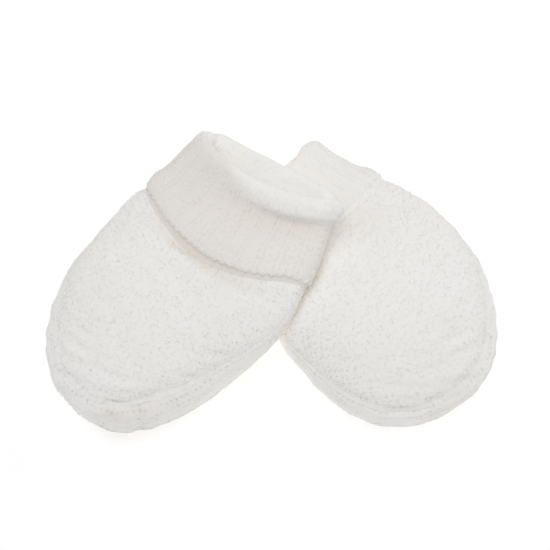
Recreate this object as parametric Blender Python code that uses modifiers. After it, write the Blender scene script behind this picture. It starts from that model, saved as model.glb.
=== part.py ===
"""A pair of knitted baby mittens, filled out and empty, lying with one cuff on the other.

Metres, +Z up.  The pair lies on the plane z = 0 with its bounding box centred on the origin.
Each mitten is three pieces: the back of the hand, the palm, which turns up round the sides to
the seam, and a cuff that is folded outwards at the mouth and turned back over the wrist.
"""
import math
from collections import namedtuple

import bpy
import numpy as np

MM = 0.001

# ---- sizes that both mittens share -------------------------------------------------------
WALL = 1.8 * MM            # thickness of the knitted cloth
SEAM_GAP = 0.5 * MM        # clear gap between back and palm along their seam
WRIST_GAP = 0.65 * MM      # clear gap between cuff and hand, where the cloth curves most
SEAM_LIP = 0.2 * MM        # narrow strip of cage along every sewn edge
WIDEST_SHARE = 0.42        # height of the widest line, as a share of the section's height
SIDE_POWER = 2.4           # 2 is an ellipse; more is a blunter side to every section
TIP_POWER = 2.25           # 2 is an ellipse; more is a squarer tip
PALM_FULLNESS = 0.62       # below 1 the palm is flatter underneath and steeper at its sides
WRIST_AT = 24.0 * MM       # length of the cuff's inner leg, where the hand is sewn on
TIP_ARC_START = 0.33       # share of the outline at which the last knitted row begins
TIP_ARC_BLEND = 4.0        # how soon the round tip's fullness takes over from the straight part
ROW_BEND = 1.7             # how late the straight rows turn into rows that follow the tip
ROW_CLOSING = 0.75         # how much closer the last rows lie; 0 spaces them all alike
BEND_FROM = 12.0 * MM      # stretch of the mitten over which the cuff's direction
BEND_TO = 46.0 * MM        # turns into the hand's
FOLD_CLEAR = 3.0 * MM      # length of inner leg that is drawn with the fold
PAIR_CENTRE = (-1.5 * MM, -0.7 * MM)   # plan position that becomes the origin

ROWS = 15                  # cage rows from the wrist to the tip
STITCHES = 18              # cage columns across a panel
WRIST_ROW = 0.01           # share of the way to the tip of the narrow first row
RING = 2 * STITCHES        # cage columns round a cuff
FOLD_ROWS = 5              # cage rows over the fold
OUTLINE_STEPS = 400        # fineness with which an outline's length is measured
SPINE_OVERRUN = 20.0 * MM  # the bent middle line is drawn this much past both ends
SPINE_STEPS = 700

# Lengths along the mitten start at the middle of its mouth.  half_width is across the cloth
# tube, low and high are the heights of its underside and its top, and shift moves it across,
# towards the inner side where it is positive.
Station = namedtuple("Station", "at half_width low high shift")

# The seam between back and palm: at is a share of the hand's outline, from the inner side of
# the wrist round the tip to its outer side, and inset is how far inside the outline it lies.
SeamPoint = namedtuple("SeamPoint", "at inset")

# The cuff all round: at is the angle in degrees, 0 on the inner side, 90 on top, 180 on the
# outer side; fold is the place of the fold along the mitten, and depth is the length of the
# turned-back leg there.
Turn = namedtuple("Turn", "at fold depth")

# The turned-back leg from the fold to its free edge: at is a share of its depth, and stand_off
# is how far the middle of its cloth lies off the surface of the tube inside it.
BandRow = namedtuple("BandRow", "at stand_off")

Mitten = namedtuple(
    "Mitten",
    "name side mouth length round_length cuff_heading hand_heading shear roll_slope roll_until "
    "lip_radius floor_clear stations seam turns band",
)

LEFT = Mitten(
    name="left",
    side=-1,
    mouth=(-0.6 * MM, 29.9 * MM),
    length=98.0 * MM,
    round_length=38.5 * MM,
    cuff_heading=math.radians(34.0),
    hand_heading=math.radians(46.5),
    shear=7.0 * MM,
    roll_slope=0.20,
    roll_until=66.0 * MM,
    lip_radius=1.6 * MM,
    floor_clear=None,
    stations=[
        Station(-8.0 * MM, 23.9 * MM, 21.6 * MM, 38.0 * MM, -0.2 * MM),
        Station(0.0 * MM, 24.1 * MM, 21.2 * MM, 37.4 * MM, -0.2 * MM),
        Station(8.0 * MM, 25.9 * MM, 20.4 * MM, 35.4 * MM, -0.5 * MM),
        Station(15.0 * MM, 27.6 * MM, 19.2 * MM, 32.8 * MM, -0.2 * MM),
        Station(22.0 * MM, 29.5 * MM, 17.8 * MM, 31.6 * MM, 0.3 * MM),
        Station(30.0 * MM, 33.0 * MM, 14.4 * MM, 31.6 * MM, 0.6 * MM),
        Station(38.0 * MM, 34.6 * MM, 9.4 * MM, 31.8 * MM, 0.2 * MM),
        Station(48.0 * MM, 34.0 * MM, 3.6 * MM, 31.4 * MM, 0.0),
        Station(58.0 * MM, 32.2 * MM, -0.4 * MM, 30.4 * MM, 0.3 * MM),
        Station(68.0 * MM, 30.4 * MM, -1.2 * MM, 28.6 * MM, 0.8 * MM),
        Station(80.0 * MM, 29.0 * MM, -1.2 * MM, 26.6 * MM, 1.1 * MM),
        Station(98.0 * MM, 29.2 * MM, -1.2 * MM, 25.6 * MM, 1.0 * MM),
    ],
    seam=[
        SeamPoint(0.00, 0.2 * MM),
        SeamPoint(0.12, 2.2 * MM),
        SeamPoint(0.30, 5.0 * MM),
        SeamPoint(0.42, 4.6 * MM),
        SeamPoint(0.50, 4.0 * MM),
        SeamPoint(0.60, 3.6 * MM),
        SeamPoint(0.75, 2.0 * MM),
        SeamPoint(0.90, 0.7 * MM),
        SeamPoint(1.00, 0.2 * MM),
    ],
    turns=[
        Turn(0.0, 0.0, 24.5 * MM),
        Turn(45.0, 6.0 * MM, 23.0 * MM),
        Turn(90.0, 10.0 * MM, 28.0 * MM),
        Turn(135.0, 8.5 * MM, 31.0 * MM),
        Turn(180.0, 0.0, 22.0 * MM),
        Turn(225.0, -4.0 * MM, 24.0 * MM),
        Turn(270.0, -5.0 * MM, 24.0 * MM),
        Turn(315.0, -4.0 * MM, 24.0 * MM),
    ],
    band=[
        BandRow(0.16, 1.9 * MM),
        BandRow(0.32, 1.6 * MM),
        BandRow(0.50, 1.6 * MM),
        BandRow(0.70, 2.1 * MM),
        BandRow(0.88, 2.7 * MM),
        BandRow(1.00, 3.1 * MM),
    ],
)

RIGHT = Mitten(
    name="right",
    side=1,
    mouth=(-3.0 * MM, 32.2 * MM),
    length=97.5 * MM,
    round_length=39.0 * MM,
    cuff_heading=math.radians(46.5),
    hand_heading=math.radians(39.5),
    shear=2.5 * MM,
    roll_slope=0.0,
    roll_until=60.0 * MM,
    lip_radius=1.3 * MM,
    floor_clear=WALL / 2.0,
    stations=[
        Station(-4.0 * MM, 22.6 * MM, 2.6 * MM, 11.8 * MM, 0.6 * MM),
        Station(4.0 * MM, 22.8 * MM, 2.6 * MM, 12.0 * MM, 0.4 * MM),
        Station(14.0 * MM, 24.2 * MM, 2.6 * MM, 12.6 * MM, 0.0),
        Station(24.0 * MM, 27.8 * MM, 2.6 * MM, 14.8 * MM, 0.0),
        Station(31.0 * MM, 31.0 * MM, 2.4 * MM, 18.4 * MM, 0.0),
        Station(40.0 * MM, 33.2 * MM, 0.2 * MM, 23.6 * MM, 0.2 * MM),
        Station(50.0 * MM, 34.0 * MM, -1.2 * MM, 27.8 * MM, 0.6 * MM),
        Station(60.0 * MM, 33.8 * MM, -1.2 * MM, 29.6 * MM, 1.2 * MM),
        Station(72.0 * MM, 33.0 * MM, -1.2 * MM, 28.8 * MM, 2.0 * MM),
        Station(84.0 * MM, 32.0 * MM, -1.2 * MM, 26.8 * MM, 2.8 * MM),
        Station(97.5 * MM, 31.6 * MM, -1.2 * MM, 25.6 * MM, 3.0 * MM),
    ],
    seam=[
        SeamPoint(0.00, 0.2 * MM),
        SeamPoint(0.20, 1.4 * MM),
        SeamPoint(0.38, 2.2 * MM),
        SeamPoint(0.50, 2.2 * MM),
        SeamPoint(0.62, 3.0 * MM),
        SeamPoint(0.74, 2.8 * MM),
        SeamPoint(0.87, 1.0 * MM),
        SeamPoint(1.00, 0.2 * MM),
    ],
    turns=[
        Turn(0.0, 0.0, 24.0 * MM),
        Turn(90.0, 2.5 * MM, 25.0 * MM),
        Turn(180.0, 0.0, 24.0 * MM),
        Turn(270.0, -2.5 * MM, 24.0 * MM),
    ],
    band=[
        BandRow(0.16, 1.6 * MM),
        BandRow(0.34, 1.6 * MM),
        BandRow(0.52, 1.6 * MM),
        BandRow(0.70, 1.7 * MM),
        BandRow(0.86, 2.0 * MM),
        BandRow(1.00, 2.3 * MM),
    ],
)

# ---- finishes ------------------------------------------------------------------------------
HAND_COLOUR = (0.86, 0.86, 0.84, 1.0)
PALM_COLOUR = (0.82, 0.82, 0.80, 1.0)
CUFF_COLOUR = (0.84, 0.83, 0.80, 1.0)
WOOL_ROUGHNESS = 0.95


def read_table(table, column, at):
    """Read a column of a table at any place, on a smooth curve through its rows."""
    places = np.array([row.at for row in table])
    values = np.array([getattr(row, column) for row in table])
    slopes = np.gradient(values, places)
    at = np.clip(np.asarray(at, dtype=float), places[0], places[-1])
    index = np.clip(np.searchsorted(places, at, side="right") - 1, 0, len(places) - 2)
    step = places[index + 1] - places[index]
    t = (at - places[index]) / step
    start = (1.0 + 2.0 * t) * (1.0 - t) ** 2 * values[index]
    end = t * t * (3.0 - 2.0 * t) * values[index + 1]
    turn = t * (1.0 - t) ** 2 * slopes[index] - t * t * (1.0 - t) * slopes[index + 1]
    return start + end + step * turn


def read_round(turns, column, degrees):
    """Read a column of the cuff's table at any angle; the table closes on itself."""
    before = [row._replace(at=row.at - 360.0) for row in turns[-2:]]
    after = [row._replace(at=row.at + 360.0) for row in turns[:2]]
    return read_table(before + list(turns) + after, column, np.mod(degrees, 360.0))


def blunt(value):
    """Place across a section, 1 to -1, for a cosine or sine that is spaced evenly by angle."""
    return np.sign(value) * np.abs(value) ** (2.0 / SIDE_POWER)


def other_side(value):
    """The second coordinate of a section's blunt quarter, from 1 down to 0 as the first grows."""
    return (1.0 - np.clip(value, 0.0, 1.0) ** SIDE_POWER) ** (1.0 / SIDE_POWER)


def smooth_step(value):
    """Go from 0 to 1 with level ends."""
    value = np.clip(value, 0.0, 1.0)
    return value * value * (3.0 - 2.0 * value)


def heading(mitten, along):
    """Direction of the mitten in plan, from -Y towards its own side."""
    turned = smooth_step((np.asarray(along) - BEND_FROM) / (BEND_TO - BEND_FROM))
    return mitten.cuff_heading + (mitten.hand_heading - mitten.cuff_heading) * turned


def plan_position(mitten, along, across):
    """Plan position of a point: so far along the bent middle line, so far to its inner side."""
    samples = np.linspace(-SPINE_OVERRUN, mitten.length + SPINE_OVERRUN, SPINE_STEPS)
    angles = heading(mitten, samples)
    step = samples[1] - samples[0]
    line_x = np.cumsum(np.sin(angles)) * step * mitten.side
    line_y = -np.cumsum(np.cos(angles)) * step
    line_x += mitten.mouth[0] - np.interp(0.0, samples, line_x)
    line_y += mitten.mouth[1] - np.interp(0.0, samples, line_y)
    angle = heading(mitten, along)
    across = across + read_table(mitten.stations, "shift", along)
    x = np.interp(along, samples, line_x) - mitten.side * np.cos(angle) * across
    y = np.interp(along, samples, line_y) - np.sin(angle) * across
    return x, y


def roll_lift(mitten, along, across):
    """Extra height where the mitten is rolled up on its inner side, over the other one."""
    fade = 1.0 - smooth_step((np.asarray(along) - WRIST_AT) / (mitten.roll_until - WRIST_AT))
    return mitten.roll_slope * fade * across


def upper_height(mitten, along):
    """Height of the section's top above its widest line."""
    low = read_table(mitten.stations, "low", along)
    high = read_table(mitten.stations, "high", along)
    return (1.0 - WIDEST_SHARE) * (high - low)


def section(mitten, along, across, rise, upper):
    """Point of the tube's outer surface; rise is 0 at its widest line and 1 mid-panel."""
    low = read_table(mitten.stations, "low", along)
    high = read_table(mitten.stations, "high", along)
    widest = low + WIDEST_SHARE * (high - low)
    if upper:
        z = widest + (high - widest) * rise
    else:
        z = widest - (widest - low) * rise ** PALM_FULLNESS
    x, y = plan_position(mitten, along, across)
    return np.stack([x, y, z + roll_lift(mitten, along, across)], axis=-1)


def outline(mitten, share):
    """Points (along, across) at shares of the hand's outline, wrist to wrist round the tip."""
    round_from = mitten.length - mitten.round_length
    straight = np.linspace(WRIST_AT, round_from, OUTLINE_STEPS)
    turn = np.linspace(0.0, math.pi / 2.0, OUTLINE_STEPS)
    power = 2.0 / TIP_POWER
    tip_along = round_from + mitten.round_length * np.sin(turn) ** power
    along = np.concatenate([straight, tip_along[1:]])
    fullness = np.concatenate([np.ones(OUTLINE_STEPS), np.cos(turn[1:]).clip(0.0) ** power])
    across = read_table(mitten.stations, "half_width", along) * fullness
    along = np.concatenate([along, along[-2::-1]])
    across = np.concatenate([across, -across[-2::-1]])
    steps = np.hypot(np.diff(along), np.diff(across))
    run = np.concatenate([[0.0], np.cumsum(steps)])
    run /= run[-1]
    return np.interp(share, run, along), np.interp(share, run, across)


def inside_outline(mitten, share, rise):
    """Point (along, across) of the upper side next to a place on the outline, at a rise."""
    along, across = outline(mitten, share)
    scale = other_side(rise)
    round_part = np.clip(along - (mitten.length - mitten.round_length), 0.0, None)
    return along - round_part * (1.0 - scale), across * scale


def seam_rise(mitten, share, offset):
    """Rise of the sewn seam, and so far beside it on the cloth, at shares of the outline."""
    along, _ = outline(mitten, share)
    width = read_table(mitten.stations, "half_width", along)
    scale = 1.0 - read_table(mitten.seam, "inset", share) / width
    rise = other_side(scale)
    run = np.hypot(upper_height(mitten, along), width * (rise / scale) ** (SIDE_POWER - 1.0))
    return rise + offset / run


def rise_over(mitten, along, across):
    """Rise of the hand's section over a plan point: 0 on the outline, 1 along its middle."""
    width = read_table(mitten.stations, "half_width", along)
    over = np.clip(along - (mitten.length - mitten.round_length), 0.0, None) / mitten.round_length
    ratio = np.abs(across) / width
    rim = (ratio ** TIP_POWER + over ** TIP_POWER) ** (1.0 / TIP_POWER)
    blend = smooth_step(over * TIP_ARC_BLEND)
    return other_side(ratio + (rim - ratio) * blend)


def panel_point(mitten, along, across, rise, row, upper):
    """Point of a panel's surface, whose rows near the wrist lean as the wrist's own line does."""
    lean = mitten.shear * rise ** 2 * (1.0 - row) ** 2
    leaned = along + WRIST_GAP / 2.0 + (lean if upper else -lean)
    before = read_table(mitten.stations, "half_width", along)
    after = read_table(mitten.stations, "half_width", leaned)
    return section(mitten, leaned, across * after / before, rise, upper)


def panel_rows():
    """Shares of the way from wrist to tip of a panel's cage rows."""
    even = np.linspace(0.0, 1.0, ROWS + 1)
    closing = np.sin(even * math.pi / 2.0)
    return np.insert(even + (closing - even) * ROW_CLOSING, 1, WRIST_ROW)


def panel_grid(mitten, upper):
    """Grid of points of a hand panel, and its edge as (share, row) pairs round the tip.

    The rows bend from straight at the wrist to the tip's arc.  The upper panel ends a narrow
    strip inside the sewn seam and the lower one at the hand's outline.
    """
    u = np.linspace(0.0, 1.0, STITCHES + 1)
    spread = (1.0 - blunt(np.cos(math.pi * u))) / 2.0
    rows = []
    for row in panel_rows():
        start = TIP_ARC_START * row
        share = start + (1.0 - 2.0 * start) * u
        edge = seam_rise(mitten, share, SEAM_GAP / 2.0 + SEAM_LIP) if upper else np.zeros_like(u)
        arc_along, arc_across = inside_outline(mitten, share, edge)
        straight_along = arc_along[0] + (arc_along[-1] - arc_along[0]) * spread
        straight_across = arc_across[0] + (arc_across[-1] - arc_across[0]) * spread
        bend = row ** ROW_BEND
        along = (1.0 - bend) * straight_along + bend * arc_along
        across = (1.0 - bend) * straight_across + bend * arc_across
        rise = rise_over(mitten, along, across)
        rise[[0, -1]] = edge[[0, -1]]
        if row == 1.0:
            rise = edge
        rows.append(panel_point(mitten, along, across, rise, row, upper))
    return np.array(rows)


def edge_places():
    """Share of the outline and row of every point along a panel's sewn edge."""
    side = panel_rows()
    tip = np.linspace(TIP_ARC_START, 1.0 - TIP_ARC_START, STITCHES + 1)
    share = np.concatenate([TIP_ARC_START * side, tip[1:-1], 1.0 - TIP_ARC_START * side[::-1]])
    row = np.concatenate([side, np.ones(STITCHES - 1), side[::-1]])
    return share, row


def edge_strips(mitten, upper):
    """Lines of points that carry a panel from its grid's edge to the sewn seam."""
    share, row = edge_places()
    if upper:
        rises = [seam_rise(mitten, share, SEAM_GAP / 2.0)]
    else:
        near = seam_rise(mitten, share, -SEAM_GAP / 2.0 - SEAM_LIP)
        rises = [near / 2.0, near, seam_rise(mitten, share, -SEAM_GAP / 2.0)]
    lines = []
    for rise in rises:
        along, across = inside_outline(mitten, share, rise)
        lines.append(panel_point(mitten, along, across, rise, row, True))
    return np.array(lines)


def ring_surface(mitten, along, angle):
    """Point of the tube's outer surface, so far along it, at an angle round it."""
    across = read_table(mitten.stations, "half_width", along) * blunt(np.cos(angle))
    rise = np.abs(blunt(np.sin(angle)))
    top = section(mitten, along, across, rise, True)
    bottom = section(mitten, along, across, rise, False)
    return np.where((np.sin(angle) >= 0.0)[..., None], top, bottom)


def ring_normal(mitten, along, angle):
    """Outward unit normal of the tube at the same place."""
    small = 0.3 * MM
    turn = 0.01
    down = ring_surface(mitten, along + small, angle) - ring_surface(mitten, along - small, angle)
    around = ring_surface(mitten, along, angle + turn) - ring_surface(mitten, along, angle - turn)
    normal = np.cross(around, down) * -mitten.side
    return normal / np.linalg.norm(normal, axis=-1, keepdims=True)


def cuff_rows(mitten, angle):
    """Places along the tube and stand-offs of the cuff's rows: inner leg, fold, outer leg."""
    inner = -WALL / 2.0
    radius = mitten.lip_radius
    fold = read_round(mitten.turns, "fold", np.degrees(angle))
    depth = read_round(mitten.turns, "depth", np.degrees(angle))
    rise = blunt(np.sin(angle))
    wrist = WRIST_AT - WRIST_GAP / 2.0 + mitten.shear * rise * np.abs(rise)
    above = wrist - SEAM_LIP
    below_fold = fold + radius + FOLD_CLEAR
    rows = [(wrist, inner), (above, inner), ((above + below_fold) / 2.0, inner), (below_fold, inner)]
    for turn in np.linspace(0.0, math.pi, FOLD_ROWS):
        at = fold + radius * (1.0 - math.sin(turn))
        rows.append((at, inner + radius * (1.0 - math.cos(turn))))
    rows += [(fold + depth * row.at, row.stand_off) for row in mitten.band]
    return rows


def cuff_grid(mitten):
    """Closed rings of points from the wrist up the inner leg, over the fold and down the band."""
    angle = np.linspace(0.0, 2.0 * math.pi, RING, endpoint=False)
    rows = []
    for along, stand_off in cuff_rows(mitten, angle):
        points = ring_surface(mitten, along, angle) + ring_normal(mitten, along, angle) * stand_off
        if mitten.floor_clear is not None:
            points[:, 2] = np.maximum(points[:, 2], mitten.floor_clear)
        rows.append(points)
    return np.array(rows)


def grid_faces(rows, columns, closed_round):
    """Quads over a grid of points, with its columns joined into rings where it is a tube.

    An open grid's two far corners lie on a smooth outline, so their quads are cut in two there.
    """
    faces = []
    for row in range(rows - 1):
        for column in range(columns if closed_round else columns - 1):
            here = row * columns
            after = (column + 1) % columns
            quad = (here + column, here + after, here + columns + after, here + columns + column)
            cut_from = {0: 3, columns - 2: 2}.get(column)
            if closed_round or row < rows - 2 or cut_from is None:
                faces.append(quad)
            else:
                quad = quad[cut_from:] + quad[:cut_from]
                faces += [quad[:3], (quad[2], quad[3], quad[0])]
    return faces


def strip_faces(rows, columns, lines):
    """Quads that join a grid's edge, round its sides and far end, to lines of points after it."""
    count = rows * columns
    inner = [row * columns for row in range(rows)]
    inner += [(rows - 1) * columns + column for column in range(1, columns - 1)]
    inner += [row * columns + columns - 1 for row in reversed(range(rows))]
    faces = []
    for line in range(lines):
        outer = [count + line * len(inner) + place for place in range(len(inner))]
        for place in range(len(inner) - 1):
            faces.append((inner[place], inner[place + 1], outer[place + 1], outer[place]))
        inner = outer
    return faces


def cloth_mesh(name, points, faces, flip):
    """A smooth mesh of the cloth's surface, moved so that the pair is centred."""
    centre = np.array([PAIR_CENTRE[0], PAIR_CENTRE[1], 0.0])
    mesh = bpy.data.meshes.new(name)
    turned = [face[::-1] if flip else face for face in faces]
    mesh.from_pydata((points - centre).tolist(), [], turned)
    mesh.shade_smooth()
    return mesh


def panel_mesh(mitten, name, upper):
    """Surface of the back or the palm; the palm is flat where it would pass below the floor."""
    grid = panel_grid(mitten, upper)
    strips = edge_strips(mitten, upper)
    rows, columns = grid.shape[:2]
    faces = grid_faces(rows, columns, False) + strip_faces(rows, columns, len(strips))
    points = np.concatenate([grid.reshape(-1, 3), strips.reshape(-1, 3)])
    points[:, 2] = np.maximum(points[:, 2], 0.0)
    return cloth_mesh(name, points, faces, (mitten.side > 0) == upper)


def cuff_mesh(mitten, name):
    """Middle surface of the turned-back cuff."""
    grid = cuff_grid(mitten)
    rows, columns = grid.shape[:2]
    return cloth_mesh(name, grid.reshape(-1, 3), grid_faces(rows, columns, True), mitten.side > 0)


def wool(name, colour):
    """A matt Principled material in the yarn's colour."""
    material = bpy.data.materials.new(name)
    material.use_nodes = True
    shader = material.node_tree.nodes["Principled BSDF"]
    shader.inputs["Base Color"].default_value = colour
    shader.inputs["Roughness"].default_value = WOOL_ROUGHNESS
    shader.inputs["Metallic"].default_value = 0.0
    return material


def add_cloth(mesh, material, offset, collection):
    """Add an object that gives the open surface the thickness of the cloth."""
    mesh.materials.append(material)
    piece = bpy.data.objects.new(mesh.name, mesh)
    collection.objects.link(piece)
    thick = piece.modifiers.new("Cloth thickness", "SOLIDIFY")
    thick.thickness = WALL
    thick.offset = offset


def build_mitten(mitten, finishes, collection):
    """The back, the palm and the turned-back cuff of one mitten."""
    back = panel_mesh(mitten, f"{mitten.name}_back", True)
    add_cloth(back, finishes["back"], -1.0, collection)
    palm = panel_mesh(mitten, f"{mitten.name}_palm", False)
    add_cloth(palm, finishes["palm"], -1.0, collection)
    cuff = cuff_mesh(mitten, f"{mitten.name}_cuff")
    add_cloth(cuff, finishes["cuff"], 0.0, collection)


def main():
    for old in list(bpy.data.objects):
        bpy.data.objects.remove(old, do_unlink=True)
    collection = bpy.data.collections.new("pair of baby mittens")
    bpy.context.scene.collection.children.link(collection)
    finishes = {
        "back": wool("hand wool", HAND_COLOUR),
        "palm": wool("palm wool", PALM_COLOUR),
        "cuff": wool("cuff wool", CUFF_COLOUR),
    }
    for mitten in (RIGHT, LEFT):
        build_mitten(mitten, finishes, collection)


main()
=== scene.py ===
"""The shown pair of knitted baby mittens: cloth, yarn, loose fibres, finish, floor, light and camera.

Sizes are in millimetres until a mesh is made.  Each mitten is a back, a palm whose side turns up to
the seam, and a cuff that is folded outwards at the mouth and turned back over the wrist.  A piece of
cloth is a thin sheet on the middle of its wall, and the yarn runs round that sheet stitch by stitch.
"""
from __future__ import annotations

import logging
import math
from abc import ABC, abstractmethod
from dataclasses import dataclass, field, replace
from enum import Enum
from functools import cached_property

import bpy
import numpy as np
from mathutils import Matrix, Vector

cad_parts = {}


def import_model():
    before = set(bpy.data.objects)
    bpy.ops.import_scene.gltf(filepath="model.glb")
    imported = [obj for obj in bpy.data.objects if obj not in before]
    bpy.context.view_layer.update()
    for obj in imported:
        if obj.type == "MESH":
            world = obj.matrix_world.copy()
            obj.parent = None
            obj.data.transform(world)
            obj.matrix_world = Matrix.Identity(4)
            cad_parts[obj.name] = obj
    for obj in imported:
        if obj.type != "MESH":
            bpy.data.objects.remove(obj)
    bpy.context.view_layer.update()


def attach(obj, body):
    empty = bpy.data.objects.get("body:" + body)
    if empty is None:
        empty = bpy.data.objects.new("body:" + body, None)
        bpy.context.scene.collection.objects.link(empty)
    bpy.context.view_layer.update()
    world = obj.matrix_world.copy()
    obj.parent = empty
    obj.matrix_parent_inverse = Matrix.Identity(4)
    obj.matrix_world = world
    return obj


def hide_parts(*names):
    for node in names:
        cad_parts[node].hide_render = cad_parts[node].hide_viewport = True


Array = np.ndarray
MM = 0.001
LOG = logging.getLogger("mittens")

WALL = 1.8                 # thickness of the knitted cloth
SEAM_GAP = 0.5             # clear gap between back and palm along their seam
WIDEST_SHARE = 0.42        # height of the widest line, as a share of the section's height
SIDE_POWER = 2.4           # 2 is an ellipse; more is a blunter side to every section
TIP_POWER = 2.25           # 2 is an ellipse; more is a squarer tip
PALM_FULLNESS = 0.62       # below 1 the palm is flatter underneath and steeper at its sides
WRIST_AT = 24.0            # place along the mitten where the hand is sewn to the cuff's inner leg
WRIST_GAP = 0.65           # clear gap between cuff and hand
TIP_ARC_START = 0.33       # share of the outline at which the last knitted row begins
TIP_ARC_BLEND = 4.0        # how soon the round tip's fullness takes over from the straight part
ROW_BEND = 1.7             # how late the straight rows turn into rows that follow the tip
BEND_FROM = 12.0           # stretch of the mitten over which the cuff's direction
BEND_TO = 46.0             # turns into the hand's
PAIR_CENTRE = (-1.5, -0.7)  # plan position that becomes the origin
OUTLINE_STEPS = 400        # fineness with which an outline's length is measured
SPINE_OVERRUN = 20.0       # the bent middle line is drawn this much past both ends
SPINE_STEPS = 700          # points of that line
SMALL = 1e-3               # step of u or v over which a surface's direction is read
TUBE_STEP = 0.3            # steps along the tube, and in radians round it, over which
TURN_STEP = 0.01           # the tube's own direction is read
SOUND_INSIDE = 0.03        # margin of u inside which a panel's direction can be read
GROOVE_REACH = 2.2         # half width of the groove that the seam draws in
PUFF = 0.30                # swell beside the groove, as a share of its depth
PUFF_AT = 4.6              # distance of that swell from the seam
SHEET_FLOOR = 0.35         # lowest height of the middle of a sheet
LOOKUP_BLOCK = 4000        # points looked up at a time
BAND_FROM = 0.56           # place on a cuff from which the band carries its painted shade
BAND_RISE = 0.16           # how much sooner that is at the cuff's outer corner
BAND_RISE_AT = 130.0       # the corner's place and reach, in degrees round the cuff
BAND_RISE_REACH = 42.0
BAND_BLEND = 0.08          # stretch of the cuff over which that painted shade comes in
LEG_BLEND = 8.0            # how soon past the fold the turned-back leg takes its own stand-off
SETTLE_FROM = 0.86         # place on a cuff from which its free edge comes down
INSIDE_UNTIL = 0.36        # place on a cuff up to which its stitches lie flat, as pressed by a hand
INSIDE_BLEND = 0.10        # stretch of the cuff over which they come up again
INSIDE_SINK = 0.16         # how much lower they lie there
SWAY = 0.05                # unevenness of each stitch's place, as a share of a stitch or a row
LOOP_SWAY = 0.10           # and of the size of its loop
SWAY_LIMIT = 1.8           # the most that unevenness may come to, in standard deviations
RIB_FLATNESS = 1.7         # 1 is a round rib; more is a flatter one
END_DIP = 0.2              # how far the end of a row dips into the seam
END_REACH = 0.5            # how many stitches from its end a row dips
FILL_STEPS = 240           # pieces of the wool in the crease under a cuff's free edge
FILL_ROWS = 6              # lines of points from one side of a strip of wool to the other
FILL_FROM = -0.3           # distance beyond the edge at which it starts
FILL_TO = 2.6              # and at which it meets the hand
FILL_SINK = 0.45           # height over the middle of the hand's wall at which it ends
FILL_HOLLOW = 0.06         # how far it sags between the two
FILL_THICKNESS = 0.25      # thickness of the strip inside its fibres
FILL_PAINTED_SHADE = 1.60           # painted shadow on the wool in the crease at its start, as a multiple of the band's painted shade
FILL_PAINTED_SHADE_END = 1.05       # and where it meets the hand
SEAM_FILL = 1.5            # reach of the wool along the seam to each side
SEAM_SINK = 0.62           # its height there over the middle of the wall
SEAM_HOLLOW = 0.10         # and how much lower it lies along the seam
SEAM_END = 0.004           # share of the outline that the seam leaves free at each end
SEAM_BEFORE = 0.92         # places on the palm's side from which the way to the seam is read,
SEAM_FACE = 0.9            # and at which the side's own direction is
EDGE_BEFORE = 0.95         # places on a cuff from which the way to its free edge is read,
EDGE_FACE = 0.99           # and at which its own direction is
BIND_AT = 0.992            # place on a cuff of the loops that finish its free edge
BIND_HEIGHT = 0.05         # and how high over the middle of the wall they are wound
BIND_CLEAR = 0.5           # clear gap between those loops and the floor
LOOKUP_GRID = (160, 120)   # points of a patch among which the nearest one is looked up
YARN_SIDES = 5             # sides of the yarn's section
YARN_PLIES = 3.0           # strands that the yarn is twisted of
FIBRE_LENGTH = 1.7         # length of a loose fibre, before it is made longer or shorter
FIBRE_THICKNESS = 0.04
FIBRE_CURL = 1.65          # angle of the arc that a fibre follows, in radians
FIBRE_CURL_RADIUS = 0.62   # and the arc's radius, as a share of the fibre's length
FIBRE_TIP = 0.25           # thickness of a fibre's tip, as a share of that of its root
FIBRE_LEAN = 1.15          # how far fibres lean to any side, in radians
FIBRE_SHORTEST = 0.45      # shares of the length between which fibres vary
FIBRE_LONGEST = 1.25
FIBRE_HEIGHT = 0.6         # height over the middle of the wall at which fibres stand
FIBRE_CLEAR = 1.5          # fibres of a cuff's free edge stay this many lengths off the floor
HAND_FIBRES = 1.0          # fibres for each square millimetre of a hand,
CUFF_FIBRES = 0.7          # of a cuff,
EDGE_FIBRES = 3.0          # and of the wool along a cuff's free edge
OVERCAST_STEPS = 10        # points of yarn to one overcast stitch
ROW_PITCH = 3.4            # distance from one garter ridge to the next
RIDGE_WAVE = 0.8           # how far a garter ridge wavers from its line
RIDGE_WAVER = (3.3, 6.1, 7.9)  # reaches over which it does, across, along and again across
PALM_RIDGES = 0.4          # share of the ridges' height that is left under the palm
PALM_FADE = 0.5            # rise on the palm at which the creases of the upper side have gone
LUMP = 0.16                # half height of the cloth's broad unevenness
LUMP_LENGTH = 17.0         # distance over which it comes and goes
LUMP_FINE = 0.6            # share of it that comes and goes sooner
PATCH_LENGTH = 23.0        # distance over which the relief grows stronger and weaker
PATCHINESS = 0.5           # share of the relief that does


# ---- tables of sizes ---------------------------------------------------------------------------
@dataclass(frozen=True)
class Station:
    """Section of a mitten's tube: half width, height of underside and top, and shift to its inner side."""

    at: float
    half_width: float
    low: float
    high: float
    shift: float


@dataclass(frozen=True)
class SeamPoint:
    """Place on the sewn seam: share of the outline, inset from it, and depth of the groove there."""

    at: float
    inset: float
    groove: float


@dataclass(frozen=True)
class Turn:
    """The cuff at an angle round the tube: place of its fold, depth of its turned-back leg, and how
    far the leg's free edge settles on the hand."""

    at: float
    fold: float
    depth: float
    settle: float = 0.0


@dataclass(frozen=True)
class BandRow:
    """The turned-back leg at a share of its depth: how far its cloth stands off the tube."""

    at: float
    stand_off: float


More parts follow.
